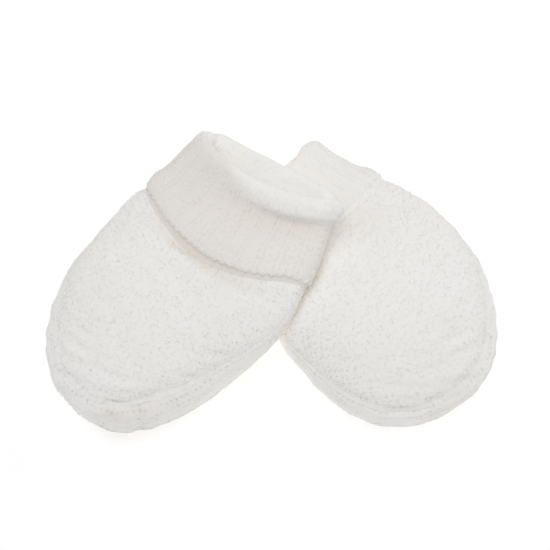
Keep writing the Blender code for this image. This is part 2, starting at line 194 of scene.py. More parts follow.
@dataclass(frozen=True)
class Swell:
    """A soft rise, or a hollow where height is negative, lying in any direction on a patch.

    u and v are its middle, long_reach and cross_reach its half lengths, and turn the angle in degrees
    from the patch's first direction to its long one.
    """

    u: float
    v: float
    long_reach: float
    cross_reach: float
    turn: float
    height: float

    def lift(self, u: Array, v: Array) -> Array:
        """Height of the swell at places on its patch."""
        angle = math.radians(self.turn)
        du, dv = u - self.u, v - self.v
        along = (du * math.cos(angle) + dv * math.sin(angle)) / self.long_reach
        across = (dv * math.cos(angle) - du * math.sin(angle)) / self.cross_reach
        return self.height * np.exp(-(along ** 2) - across ** 2)


def add_up(swells: tuple[Swell, ...], u: Array, v: Array) -> Array:
    """Heights of all the swells together, at places on their patch."""
    return sum((swell.lift(u, v) for swell in swells), np.zeros(np.shape(u)))


def read_table(table: tuple, column: str, at: Array | float) -> Array:
    """Read a column of a table at any place, on a smooth curve through its rows.

    Args:
        table: rows with a field called at, in rising order.
        column: name of the field to read.
        at: places to read it at.

    Returns:
        The column's value at each place.
    """
    places = np.array([row.at for row in table])
    values = np.array([getattr(row, column) for row in table])
    slopes = np.gradient(values, places)
    at = np.clip(np.asarray(at, dtype=float), places[0], places[-1])
    index = np.clip(np.searchsorted(places, at, side="right") - 1, 0, len(places) - 2)
    step = places[index + 1] - places[index]
    t = (at - places[index]) / step
    start = (1.0 + 2.0 * t) * (1.0 - t) ** 2 * values[index]
    end = t * t * (3.0 - 2.0 * t) * values[index + 1]
    turn = t * (1.0 - t) ** 2 * slopes[index] - t * t * (1.0 - t) * slopes[index + 1]
    return start + end + step * turn


def read_round(turns: tuple[Turn, ...], column: str, degrees: Array) -> Array:
    """Read a column of a cuff's table at any angle; the table closes on itself."""
    before = tuple(replace(row, at=row.at - 360.0) for row in turns[-2:])
    after = tuple(replace(row, at=row.at + 360.0) for row in turns[:2])
    return read_table(before + turns + after, column, np.mod(degrees, 360.0))


def blunt(value: Array) -> Array:
    """Place across a section, 1 to -1, for a cosine or sine that is spaced evenly by angle."""
    return np.sign(value) * np.abs(value) ** (2.0 / SIDE_POWER)


def other_side(value: Array) -> Array:
    """The second coordinate of a section's blunt quarter, from 1 down to 0 as the first grows."""
    return (1.0 - np.clip(value, 0.0, 1.0) ** SIDE_POWER) ** (1.0 / SIDE_POWER)


def smooth_step(value: Array | float) -> Array:
    """Go from 0 to 1 with level ends."""
    value = np.clip(value, 0.0, 1.0)
    return value * value * (3.0 - 2.0 * value)


def length_run(line: Array) -> Array:
    """Length run from the start of a line to each of its points."""
    return np.concatenate([[0.0], np.cumsum(np.linalg.norm(np.diff(line, axis=0), axis=1))])


def read_line(line: Array, run: Array, at: Array) -> Array:
    """Points of a line at so much length run, where run is what length_run says of it."""
    return np.stack([np.interp(at, run, line[:, axis]) for axis in range(3)], axis=-1)


def hold_up(points: Array, lowest: float) -> Array:
    """Lift points that lie lower than a height up to it."""
    points[..., 2] = np.maximum(points[..., 2], lowest)
    return points


@dataclass(frozen=True)
class Weave:
    """Two crossing waves over a plane; for each, its shares of x and y and its phase."""

    length: float
    first: tuple[float, float, float]
    second: tuple[float, float, float]

    def read(self, x: Array, y: Array) -> Array:
        """Product of the two waves at places in millimetres."""
        k = 2.0 * math.pi / self.length
        one, two = (np.sin(k * (a * x + b * y) + phase) for a, b, phase in (self.first, self.second))
        return one * two


BROAD_LUMPS = Weave(LUMP_LENGTH, (1.0, 0.45, 1.1), (-0.3, 0.9, 0.4))
FINER_LUMPS = Weave(LUMP_LENGTH, (1.7, -1.36, 2.0), (0.75, 1.5, 0.0))
RELIEF_PATCHES = Weave(PATCH_LENGTH, (1.0, -0.3, 0.7), (0.5, 0.8, 2.1))


def lumps(x: Array, y: Array) -> Array:
    """Soft broad unevenness of hand-knitted cloth, at places in millimetres."""
    return LUMP * (BROAD_LUMPS.read(x, y) + LUMP_FINE * FINER_LUMPS.read(x, y))


def patchy(x: Array, y: Array) -> Array:
    """Share of the relief that is left from place to place, uneven round 1."""
    return 1.0 + PATCHINESS * RELIEF_PATCHES.read(x, y)


@dataclass(frozen=True)
class Ridges:
    """Garter ridges over the far part of a hand, tilted and bowed as they show.

    pitch is the distance from ridge to ridge and height half their relief, tilt the slope of a ridge
    across the hand, bow the radius that it follows, and start and blend say where they come in.
    """

    pitch: float
    height: float
    tilt: float
    bow: float
    start: float
    blend: float

    def lift(self, along: Array, across: Array) -> Array:
        """Height of the ridges at places on the hand."""
        row = (along + self.tilt * across + across ** 2 / (2.0 * self.bow)) / math.hypot(1.0, self.tilt)
        first, second, third = RIDGE_WAVER
        waver = np.sin(across / first + along / second) * np.sin(across / third + 1.0)
        row = row + RIDGE_WAVE * waver
        shown = smooth_step((along - self.start) / self.blend)
        return self.height * shown * patchy(along, across) * np.cos(2.0 * math.pi * row / self.pitch)


# ---- the form of one mitten --------------------------------------------------------------------
@dataclass(frozen=True)
class MittenForm:
    """Sizes of one mitten, and its outer surface: a bent tube that closes in a round tip.

    side is 1 for the mitten that points to +X and -1 for the other, and mouth the plan position where
    its middle line starts.  The headings are degrees from -Y towards its own side.  shear is how far
    the wrist's line leans, and roll_slope how steeply the mitten is rolled up on its inner side, which
    has ended at roll_until.  lip_radius is the radius of the cuff's fold, and floor_clear the lowest
    height of the middle of its wall.

    hand_swells and the hand's painted shades lie at places along and across the hand, cuff_swells and the
    cuff's painted shades at degrees round the cuff and hundredths of the way over it.  stitch_swells raise
    the yarn alone.  The height of a painted shade is how much of the darker, creamier colour of painted
    shade it lays on the wool, and a negative one lightens; the turned-back band carries a share of
    painted shade of its own, for the shade of its deep ribs and its turn away from the light.
    fill_height is the height over the band's free edge at which the wool in the crease below starts.
    """

    name: str
    side: int
    mouth: tuple[float, float]
    length: float
    round_length: float
    cuff_heading: float
    hand_heading: float
    shear: float
    roll_slope: float
    roll_until: float
    lip_radius: float
    floor_clear: float
    stations: tuple[Station, ...]
    seam: tuple[SeamPoint, ...]
    turns: tuple[Turn, ...]
    band: tuple[BandRow, ...]
    hand_swells: tuple[Swell, ...]
    stitch_swells: tuple[Swell, ...]
    cuff_swells: tuple[Swell, ...]
    ridges: Ridges
    hand_painted_shades: tuple[Swell, ...]
    cuff_painted_shades: tuple[Swell, ...]
    fill_height: float
    painted_shade_cream: float

    def heading(self, along: Array) -> Array:
        """Direction of the mitten in plan, in radians from -Y towards its own side."""
        turned = smooth_step((np.asarray(along) - BEND_FROM) / (BEND_TO - BEND_FROM))
        return np.radians(self.cuff_heading + (self.hand_heading - self.cuff_heading) * turned)

    def plan_position(self, along: Array, across: Array) -> tuple[Array, Array]:
        """Plan position of a point: so far along the bent middle line, so far to its inner side."""
        samples = np.linspace(-SPINE_OVERRUN, self.length + SPINE_OVERRUN, SPINE_STEPS)
        angles = self.heading(samples)
        step = samples[1] - samples[0]
        line_x = np.cumsum(np.sin(angles)) * step * self.side
        line_y = -np.cumsum(np.cos(angles)) * step
        line_x += self.mouth[0] - PAIR_CENTRE[0] - np.interp(0.0, samples, line_x)
        line_y += self.mouth[1] - PAIR_CENTRE[1] - np.interp(0.0, samples, line_y)
        angle = self.heading(along)
        across = across + read_table(self.stations, "shift", along)
        x = np.interp(along, samples, line_x) - self.side * np.cos(angle) * across
        y = np.interp(along, samples, line_y) - np.sin(angle) * across
        return x, y

    def roll_lift(self, along: Array, across: Array) -> Array:
        """Extra height where the mitten is rolled up on its inner side, over the other one."""
        fade = 1.0 - smooth_step((np.asarray(along) - WRIST_AT) / (self.roll_until - WRIST_AT))
        return self.roll_slope * fade * across

    def section(self, along: Array, across: Array, rise: Array, upper: bool) -> Array:
        """Point of the tube's outer surface; rise is 0 at its widest line and 1 mid-panel."""
        low = read_table(self.stations, "low", along)
        high = read_table(self.stations, "high", along)
        widest = low + WIDEST_SHARE * (high - low)
        if upper:
            z = widest + (high - widest) * rise
        else:
            z = widest - (widest - low) * rise ** PALM_FULLNESS
        x, y = self.plan_position(along, across)
        return np.stack([x, y, z + self.roll_lift(along, across)], axis=-1)

    def outline(self, share: Array) -> tuple[Array, Array]:
        """Points (along, across) at shares of the hand's outline, wrist to wrist round the tip."""
        round_from = self.length - self.round_length
        straight = np.linspace(WRIST_AT, round_from, OUTLINE_STEPS)
        turn = np.linspace(0.0, math.pi / 2.0, OUTLINE_STEPS)
        power = 2.0 / TIP_POWER
        tip_along = round_from + self.round_length * np.sin(turn) ** power
        along = np.concatenate([straight, tip_along[1:]])
        fullness = np.concatenate([np.ones(OUTLINE_STEPS), np.cos(turn[1:]).clip(0.0) ** power])
        across = read_table(self.stations, "half_width", along) * fullness
        along = np.concatenate([along, along[-2::-1]])
        across = np.concatenate([across, -across[-2::-1]])
        steps = np.hypot(np.diff(along), np.diff(across))
        run = np.concatenate([[0.0], np.cumsum(steps)])
        run /= run[-1]
        return np.interp(share, run, along), np.interp(share, run, across)

    def inside_outline(self, share: Array, rise: Array) -> tuple[Array, Array]:
        """Point (along, across) of the upper side next to a place on the outline, at a rise."""
        along, across = self.outline(share)
        scale = other_side(rise)
        round_part = np.clip(along - (self.length - self.round_length), 0.0, None)
        return along - round_part * (1.0 - scale), across * scale

    def seam_rise(self, share: Array, offset: float) -> Array:
        """Rise of the sewn seam, and so far beside it on the cloth, at shares of the outline."""
        along, _ = self.outline(share)
        width = read_table(self.stations, "half_width", along)
        low = read_table(self.stations, "low", along)
        high = read_table(self.stations, "high", along)
        scale = 1.0 - read_table(self.seam, "inset", share) / width
        rise = other_side(scale)
        height = (1.0 - WIDEST_SHARE) * (high - low)
        run = np.hypot(height, width * (rise / scale) ** (SIDE_POWER - 1.0))
        return rise + offset / run

    def rise_over(self, along: Array, across: Array) -> Array:
        """Rise of the hand's section over a plan point: 0 on the outline, 1 along its middle."""
        width = read_table(self.stations, "half_width", along)
        over = np.clip(along - (self.length - self.round_length), 0.0, None) / self.round_length
        ratio = np.abs(across) / width
        rim = (ratio ** TIP_POWER + over ** TIP_POWER) ** (1.0 / TIP_POWER)
        return other_side(ratio + (rim - ratio) * smooth_step(over * TIP_ARC_BLEND))

    def panel_point(self, along: Array, across: Array, rise: Array, row: Array, upper: bool) -> Array:
        """Point of a panel, whose rows near the wrist lean as the wrist's own line does."""
        lean = self.shear * rise ** 2 * (1.0 - row) ** 2
        leaned = along + WRIST_GAP / 2.0 + (lean if upper else -lean)
        before = read_table(self.stations, "half_width", along)
        after = read_table(self.stations, "half_width", leaned)
        return self.section(leaned, across * after / before, rise, upper)

    def seam_line(self) -> tuple[Array, Array]:
        """Points along the sewn seam, with their shares of the outline."""
        share = np.linspace(0.0, 1.0, OUTLINE_STEPS)
        rise = self.seam_rise(share, 0.0)
        along, across = self.inside_outline(share, rise)
        row = np.clip(np.minimum(share, 1.0 - share) / TIP_ARC_START, 0.0, 1.0)
        return self.panel_point(along, across, rise, row, True), share

    def ring_surface(self, along: Array, angle: Array) -> Array:
        """Point of the tube's outer surface, so far along it, at an angle round it."""
        across = read_table(self.stations, "half_width", along) * blunt(np.cos(angle))
        rise = np.abs(blunt(np.sin(angle)))
        top = self.section(along, across, rise, True)
        bottom = self.section(along, across, rise, False)
        return np.where((np.sin(angle) >= 0.0)[..., None], top, bottom)

    def ring_normal(self, along: Array, angle: Array) -> Array:
        """Outward unit normal of the tube at the same place."""
        down = self.ring_surface(along + TUBE_STEP, angle) - self.ring_surface(along - TUBE_STEP, angle)
        around = self.ring_surface(along, angle + TURN_STEP) - self.ring_surface(along, angle - TURN_STEP)
        return unit(np.cross(around, down) * -self.side)


def unit(vectors: Array) -> Array:
    """The same directions, with length 1."""
    return vectors / np.maximum(np.linalg.norm(vectors, axis=-1, keepdims=True), 1e-12)


LEFT = MittenForm(
    name="left",
    side=-1,
    mouth=(-0.6, 29.9),
    length=98.0,
    round_length=38.5,
    cuff_heading=34.0,
    hand_heading=46.5,
    shear=7.0,
    roll_slope=0.20,
    roll_until=66.0,
    lip_radius=1.6,
    floor_clear=-100.0,
    stations=(
        Station(-8.0, 23.9, 21.6, 38.0, -0.2),
        Station(0.0, 24.1, 21.2, 37.4, -0.2),
        Station(8.0, 25.9, 20.4, 35.4, -0.5),
        Station(15.0, 27.6, 19.2, 32.8, -0.2),
        Station(22.0, 29.5, 17.8, 31.6, 0.3),
        Station(30.0, 33.0, 14.4, 31.6, 0.6),
        Station(38.0, 34.6, 9.4, 31.8, 0.2),
        Station(48.0, 34.0, 3.6, 31.4, 0.0),
        Station(58.0, 32.2, -0.4, 30.4, 0.3),
        Station(68.0, 30.4, -1.2, 28.6, 0.8),
        Station(80.0, 29.0, -1.2, 26.6, 1.1),
        Station(98.0, 29.2, -1.2, 25.6, 1.0),
    ),
    seam=(
        SeamPoint(0.00, 0.2, 0.1),
        SeamPoint(0.12, 2.2, 0.2),
        SeamPoint(0.30, 5.0, 0.5),
        SeamPoint(0.40, 4.7, 1.0),
        SeamPoint(0.50, 4.0, 0.5),
        SeamPoint(0.60, 3.6, 0.3),
        SeamPoint(0.75, 2.0, 0.2),
        SeamPoint(0.90, 0.7, 0.1),
        SeamPoint(1.00, 0.2, 0.1),
    ),
    turns=(
        Turn(0.0, 0.0, 24.5, 0.35),
        Turn(45.0, 6.0, 21.8, 0.50),
        Turn(75.0, 8.8, 25.7, 0.45),
        Turn(90.0, 9.2, 28.0, 1.10),
        Turn(105.0, 8.2, 28.9, 0.50),
        Turn(120.0, 7.0, 28.4, 0.35),
        Turn(135.0, 5.6, 27.2, 0.15),
        Turn(150.0, 3.8, 26.1, 0.35),
        Turn(165.0, 1.6, 24.5, 0.45),
        Turn(180.0, 0.0, 21.7, 0.45),
        Turn(225.0, -4.0, 24.0, 0.40),
        Turn(270.0, -5.0, 24.0, 0.40),
        Turn(315.0, -4.0, 24.0, 0.50),
    ),
    band=(
        BandRow(0.00, 2.3),
        BandRow(0.16, 1.9),
        BandRow(0.32, 1.6),
        BandRow(0.50, 1.6),
        BandRow(0.70, 1.65),
        BandRow(0.84, 1.65),
        BandRow(0.93, 1.55),
        BandRow(1.00, 0.95),
    ),
    hand_swells=(
        Swell(31.8, -32.0, 7.0, 5.0, 0.0, 1.5),
        Swell(96.0, 3.0, 4.0, 10.0, 0.0, -1.0),
        Swell(98.0, -2.0, 9.0, 15.0, 0.0, -1.0),
        Swell(90.0, -15.0, 10.0, 8.0, 0.0, -1.1),
        Swell(68.0, -28.0, 14.0, 7.0, 0.0, 1.5),
        Swell(66.0, 31.0, 15.0, 6.0, 0.0, -1.0),
        Swell(33.2, -3.0, 3.2, 13.0, 10.6, -2.2),
        Swell(39.0, -2.0, 3.0, 16.0, 10.6, 0.7),
        Swell(88.2, 15.5, 4.6, 2.2, 112.0, -0.9),
        Swell(86.2, 22.0, 1.9, 1.9, 0.0, -0.7),
        Swell(88.0, 18.8, 2.0, 1.6, 110.0, 0.5),
        Swell(80.7, 19.8, 2.3, 1.5, 110.0, -0.7),
        Swell(75.4, 25.2, 2.1, 1.6, 100.0, -0.7),
        Swell(66.4, 23.5, 3.6, 1.4, 125.0, -0.7),
        Swell(54.4, 25.9, 4.5, 1.5, 128.0, -0.8),
        Swell(66.1, 27.3, 2.4, 1.7, 120.0, 0.5),
        Swell(86.5, -15.5, 2.6, 1.5, 100.0, -0.5),
    ),
    stitch_swells=(
        Swell(88.0, 10.0, 14.0, 14.0, 0.0, 0.05),
        Swell(68.0, 26.0, 18.0, 6.0, 0.0, 0.06),
        Swell(60.0, 0.0, 22.0, 14.0, 0.0, -0.05),
    ),
    cuff_swells=(
        Swell(157.0, 92.0, 14.0, 11.0, 0.0, 2.5),
        Swell(50.0, 51.0, 46.0, 7.0, 0.0, 1.9),
        Swell(55.0, 85.0, 36.0, 8.0, 0.0, 0.6),
        Swell(50.0, 57.5, 42.0, 2.6, 0.0, 0.8),
        Swell(52.0, 64.5, 34.0, 5.5, 0.0, -1.6),
        Swell(46.0, 74.0, 34.0, 8.0, 0.0, -0.8),
        Swell(46.0, 27.0, 42.0, 10.0, 0.0, 1.3),
        Swell(88.0, 62.0, 5.0, 16.0, -20.0, 0.5),
        Swell(128.0, 74.0, 7.0, 20.0, -12.0, -0.5),
        Swell(28.0, 84.0, 8.0, 15.0, 10.0, -0.4),
        Swell(200.0, 36.0, 28.0, 12.0, 0.0, 3.0),
        Swell(150.0, 35.0, 18.0, 10.0, 0.0, 1.5),
        Swell(262.0, 34.0, 12.0, 20.0, -10.0, 0.4),
        Swell(158.0, 72.0, 22.0, 20.0, 0.0, 1.6),
        Swell(318.0, 40.0, 9.0, 18.0, 12.0, 0.5),
        Swell(285.0, 80.0, 10.0, 18.0, 9.0, 0.4),
        Swell(232.0, 78.0, 8.0, 16.0, -9.0, -0.4),
    ),
    ridges=Ridges(pitch=4.8, height=0.24, tilt=0.44, bow=32.0, start=71.0, blend=15.0),
    # painted shadow under the cuff's free edge, painted shade on the rim where the tip turns under, and
    # small patches of painted shade at the seam there
    hand_painted_shades=(
        Swell(34.2, -3.0, 2.8, 15.0, 8.0, 0.50),
        Swell(33.2, 12.0, 2.6, 6.0, 35.0, 0.25),
        Swell(29.0, 22.0, 3.0, 8.0, 20.0, 0.18),
        Swell(84.0, 20.5, 14.0, 5.0, 152.0, 0.22),
        Swell(90.5, 14.5, 3.4, 1.6, 118.0, 0.35),
        Swell(83.0, 19.2, 3.0, 1.4, 132.0, 0.30),
    ),
    # painted shade in the hollow under the lip, and less painted shade on the band's lower edge, which
    # lightens it
    cuff_painted_shades=(Swell(54.0, 65.0, 32.0, 6.0, 0.0, 0.16), Swell(50.0, 96.0, 40.0, 12.0, 0.0, -0.18)),
    fill_height=0.12,
    # painted shade over the turned-back band, for the shade of its deep ribs and its turn away from the
    # light
    painted_shade_cream=0.48,
)

RIGHT = MittenForm(
    name="right",
    side=1,
    mouth=(-3.0, 32.2),
    length=97.5,
    round_length=39.0,
    cuff_heading=46.5,
    hand_heading=39.5,
    shear=2.5,
    roll_slope=0.0,
    roll_until=60.0,
    lip_radius=1.3,
    floor_clear=WALL / 2.0,
    stations=(
        Station(-4.0, 22.6, 2.6, 11.8, 0.6),
        Station(4.0, 22.8, 2.6, 12.0, 0.4),
        Station(14.0, 24.2, 2.6, 12.6, 0.0),
        Station(24.0, 27.8, 2.6, 14.8, 0.0),
        Station(31.0, 31.0, 2.4, 18.4, 0.0),
        Station(40.0, 33.2, 0.2, 23.6, 0.2),
        Station(50.0, 34.0, -1.2, 27.8, 0.6),
        Station(60.0, 33.8, -1.2, 29.6, 1.2),
        Station(72.0, 33.0, -1.2, 28.8, 2.0),
        Station(84.0, 32.0, -1.2, 26.8, 2.8),
        Station(97.5, 31.6, -1.2, 25.6, 3.0),
    ),
    seam=(
        SeamPoint(0.00, 0.2, 0.1),
        SeamPoint(0.20, 1.4, 0.2),
        SeamPoint(0.36, 2.2, 1.0),
        SeamPoint(0.50, 2.2, 0.7),
        SeamPoint(0.58, 2.8, 0.8),
        SeamPoint(0.74, 2.8, 0.3),
        SeamPoint(0.87, 1.0, 0.2),
        SeamPoint(1.00, 0.2, 0.1),
    ),
    turns=(
        Turn(0.0, 0.0, 24.0, 0.15),
        Turn(45.0, 1.6, 24.3, 0.30),
        Turn(90.0, 2.5, 24.6, -0.50),
        Turn(135.0, 1.6, 24.3, -0.05),
        Turn(180.0, 0.0, 24.0, 0.20),
        Turn(225.0, -1.6, 24.3, 0.30),
        Turn(270.0, -2.5, 24.6, 0.30),
        Turn(315.0, -1.6, 24.3, 0.45),
    ),
    band=(
        BandRow(0.00, 1.7),
        BandRow(0.16, 1.6),
        BandRow(0.34, 1.6),
        BandRow(0.52, 1.6),
        BandRow(0.70, 1.35),
        BandRow(0.84, 1.3),
        BandRow(0.93, 1.25),
        BandRow(1.00, 0.9),
    ),
    hand_swells=(
        Swell(95.5, 3.0, 5.0, 13.0, 0.0, -0.4),
        Swell(92.0, 17.0, 5.0, 6.0, 0.0, -0.5),
        Swell(26.6, -2.0, 1.9, 30.0, 0.0, 1.1),
        Swell(29.5, -2.0, 3.0, 30.0, 0.0, 0.6),
        Swell(34.0, -11.0, 4.0, 9.0, 12.0, -0.8),
        Swell(35.5, 8.0, 11.0, 5.5, 57.0, 3.2),
        Swell(46.0, 25.0, 10.0, 5.0, 57.0, 2.0),
        Swell(29.0, -24.0, 3.0, 7.0, 25.0, -0.5),
        Swell(96.0, 10.0, 8.0, 10.0, 0.0, -1.8),
        Swell(88.5, 20.2, 4.8, 2.0, 129.0, -1.0),
        Swell(92.9, 8.0, 3.0, 2.0, 100.0, -0.8),
        Swell(92.6, 2.5, 3.0, 2.2, 95.0, -0.6),
        Swell(93.0, -6.0, 3.4, 2.0, 88.0, -0.8),
        Swell(86.2, -4.0, 11.0, 1.6, 102.0, -0.5),
    ),
    stitch_swells=(
        Swell(58.0, 28.0, 14.0, 6.0, 0.0, 0.10),
        Swell(76.0, 26.0, 10.0, 7.0, 0.0, 0.07),
        Swell(60.0, -19.0, 18.0, 8.0, 0.0, 0.05),
        Swell(62.0, 5.0, 16.0, 12.0, 0.0, -0.05),
    ),
    cuff_swells=(
        Swell(160.0, 93.0, 9.0, 6.0, 0.0, 1.5),
        Swell(147.0, 88.0, 4.0, 14.0, -22.0, -0.7),
        Swell(152.0, 86.0, 3.5, 12.0, -22.0, 0.4),
        Swell(123.0, 80.0, 4.5, 10.0, -30.0, -0.6),
        Swell(131.0, 96.0, 4.0, 7.0, 30.0, -0.5),
        Swell(100.0, 70.0, 16.0, 12.0, 0.0, 0.6),
        Swell(60.0, 78.0, 8.0, 16.0, 14.0, -0.5),
        Swell(210.0, 76.0, 7.0, 14.0, 16.0, -0.5),
        Swell(255.0, 84.0, 9.0, 12.0, -14.0, 0.4),
        Swell(318.0, 72.0, 8.0, 15.0, 10.0, -0.5),
        Swell(140.0, 47.0, 16.0, 7.0, 0.0, 1.6),
        Swell(157.0, 56.0, 10.0, 7.0, 0.0, 0.9),
    ),
    ridges=Ridges(pitch=4.2, height=0.18, tilt=0.52, bow=48.0, start=64.0, blend=22.0),
    # painted shade in the valley under the cuff's free edge
    hand_painted_shades=(Swell(30.3, -9.2, 5.0, 8.0, 0.0, 0.34),),
    cuff_painted_shades=(),
    fill_height=0.35,
    # painted shade over the band, little on this cuff, which faces the light
    painted_shade_cream=0.1,
)


# ---- cloth surfaces ----------------------------------------------------------------------------
class Patch(ABC):
    """A stretch of cloth, read at (u, v) as a point of its middle surface and its face's direction."""

    @abstractmethod
    def surface(self, u: Array, v: Array) -> Array:
        """Point of the patch's own surface."""

    @abstractmethod
    def lift(self, u: Array, v: Array, points: Array) -> Array:
        """How far the middle of the cloth lies off that surface, creases included."""

    def normal(self, u: Array, v: Array) -> Array:
        """Unit normal of the surface, towards the face that shows."""
        v0, v1 = np.clip(v - SMALL, 0.0, 1.0), np.clip(v + SMALL, 0.0, 1.0)
        along_u = self.surface(self.wrap(u + SMALL), v) - self.surface(self.wrap(u - SMALL), v)
        along_v = self.surface(u, v1) - self.surface(u, v0)
        return unit(np.cross(along_u, along_v)) * self.facing()

    @abstractmethod
    def facing(self) -> float:
        """1 or -1, so that the normal points to the face that shows."""

    def place(self, u: Array, v: Array, height: Array | float = 0.0) -> Array:
        """Point of the cloth, so far above the middle of its wall.

        Args:
            u: places across, clipped to 0 to 1.
            v: places along, clipped to 0 to 1.
            height: distance off the middle of the wall, towards the face that shows.

        Returns:
            Points in millimetres.
        """
        u, v = np.broadcast_arrays(self.wrap(np.asarray(u, float)), np.clip(v, 0.0, 1.0))
        points = self.surface(u, v)
        lift = self.lift(u, v, points) + height
        return points + self.normal(u, v) * lift[..., None]

    def wrap(self, u: Array) -> Array:
        """Bring u into the patch."""
        return np.clip(u, 0.0, 1.0)


@dataclass(frozen=True)
class HandPatch(Patch):
    """A stretch of the hand's cloth, which carries the seam's groove and the hand's creases."""

    form: MittenForm

    @abstractmethod
    def plan(self, u: Array, v: Array) -> tuple[Array, Array, Array]:
        """Place (along, across) and rise of a point of the patch."""

    def tone(self, u: Array, v: Array) -> Array:
        """How much painted shade lies at places on the patch."""
        along, across, _ = self.plan(u, v)
        return add_up(self.form.hand_painted_shades, along, across)

    def drawn_in(self, points: Array, along: Array, across: Array, shown: Array | float) -> Array:
        """Height of the middle of the wall above the hand's outer surface, without its ridges.

        Args:
            points: points of the outer surface.
            along: place of each point along the mitten.
            across: place of each point to its inner side.
            shown: how much of the hand's creases reaches each point.

        Returns:
            Half the wall's thickness down, drawn in along the seam, with the creases of the hand.
        """
        line, share = self.form.seam_line()
        grooves = read_table(self.form.seam, "groove", share)
        flat = points.reshape(-1, 3)
        distance = np.empty(len(flat))
        depth = np.empty(len(flat))
        for start in range(0, len(flat), LOOKUP_BLOCK):
            block = slice(start, start + LOOKUP_BLOCK)
            gap = np.linalg.norm(flat[block, None, :] - line[None, :, :], axis=-1)
            distance[block] = gap.min(axis=1)
            depth[block] = grooves[gap.argmin(axis=1)]
        groove = -depth * np.exp(-((distance / GROOVE_REACH) ** 2))
        puff = PUFF * depth * np.exp(-(((distance - PUFF_AT) / GROOVE_REACH) ** 2))
        lift = (groove + puff).reshape(points.shape[:-1]) - WALL / 2.0
        return lift + add_up(self.form.hand_swells, along, across) * shown


@dataclass(frozen=True)
class PanelPatch(HandPatch):
    """Back or palm of a hand: rows bend from straight at the wrist to the tip's arc."""

    upper: bool

    def plan(self, u: Array, v: Array) -> tuple[Array, Array, Array]:
        """Place (along, across) and rise of a point of the panel."""
        form = self.form
        start = TIP_ARC_START * v
        share = start + (1.0 - 2.0 * start) * u
        ends = []
        for place in (share, start, 1.0 - start):
            edge = form.seam_rise(place, SEAM_GAP / 2.0) if self.upper else np.zeros_like(u)
            ends.append((*form.inside_outline(place, edge), edge))
        (arc_along, arc_across, _), first, last = ends
        spread = (1.0 - blunt(np.cos(math.pi * u))) / 2.0
        bend = v ** ROW_BEND
        along = (1.0 - bend) * (first[0] + (last[0] - first[0]) * spread) + bend * arc_along
        across = (1.0 - bend) * (first[1] + (last[1] - first[1]) * spread) + bend * arc_across
        return along, across, form.rise_over(along, across)

    def surface(self, u: Array, v: Array) -> Array:
        """Point of the panel's outer surface."""
        along, across, rise = self.plan(u, v)
        return hold_up(self.form.panel_point(along, across, rise, v, self.upper), 0.0)

    def lift(self, u: Array, v: Array, points: Array) -> Array:
        """Middle of the wall, drawn in along the seam and shaped by the creases and ridges."""
        along, across, rise = self.plan(u, v)
        shown = 1.0 if self.upper else 1.0 - smooth_step(rise / PALM_FADE)
        ridges = self.form.ridges.lift(along, across) * np.maximum(shown, PALM_RIDGES)
        return self.drawn_in(points, along, across, shown) + ridges + lumps(along, across)

    def rows(self) -> Array:
        """Values of v at the middle of each row of stitches, evenly spaced down the panel's middle."""
        v = np.linspace(0.0, 1.0, OUTLINE_STEPS)
        run = length_run(self.surface(np.full_like(v, 0.5), v))
        count = max(1, round(run[-1] / ROW_PITCH))
        return np.interp((np.arange(count) + 0.5) / count * run[-1], run, v)

    def normal(self, u: Array, v: Array) -> Array:
        """Unit normal, read a little inside the edges, where the grid of u and v is sound."""
        return super().normal(
            np.clip(u, SOUND_INSIDE, 1.0 - SOUND_INSIDE),
            np.clip(v, SOUND_INSIDE / 2.0, 1.0 - SOUND_INSIDE / 2.0),
        )

    def facing(self) -> float:
        """The back faces up and the palm down."""
        return float(self.form.side) * (-1.0 if self.upper else 1.0)


@dataclass(frozen=True)
class RimPatch(HandPatch):
    """The palm's side, which turns up from the mitten's widest line to the seam."""

    def plan(self, u: Array, v: Array) -> tuple[Array, Array, Array]:
        """Place (along, across) and rise of a point of the side."""
        rise = self.form.seam_rise(u, -SEAM_GAP / 2.0) * v
        return (*self.form.inside_outline(u, rise), rise)

    def surface(self, u: Array, v: Array) -> Array:
        """Point of the outer surface: u runs round the outline, v up to the seam."""
        along, across, rise = self.plan(u, v)
        row = np.clip(np.minimum(u, 1.0 - u) / TIP_ARC_START, 0.0, 1.0)
        return self.form.panel_point(along, across, rise, row, True)

    def lift(self, u: Array, v: Array, points: Array) -> Array:
        """Middle of the wall, drawn in along the seam, with its ridges."""
        along, across, _ = self.plan(u, v)
        ridges = self.form.ridges.lift(along, across)
        return self.drawn_in(points, along, across, 1.0) + ridges + lumps(along, across)

    def facing(self) -> float:
        """Outwards from the hand."""
        return float(self.form.side)


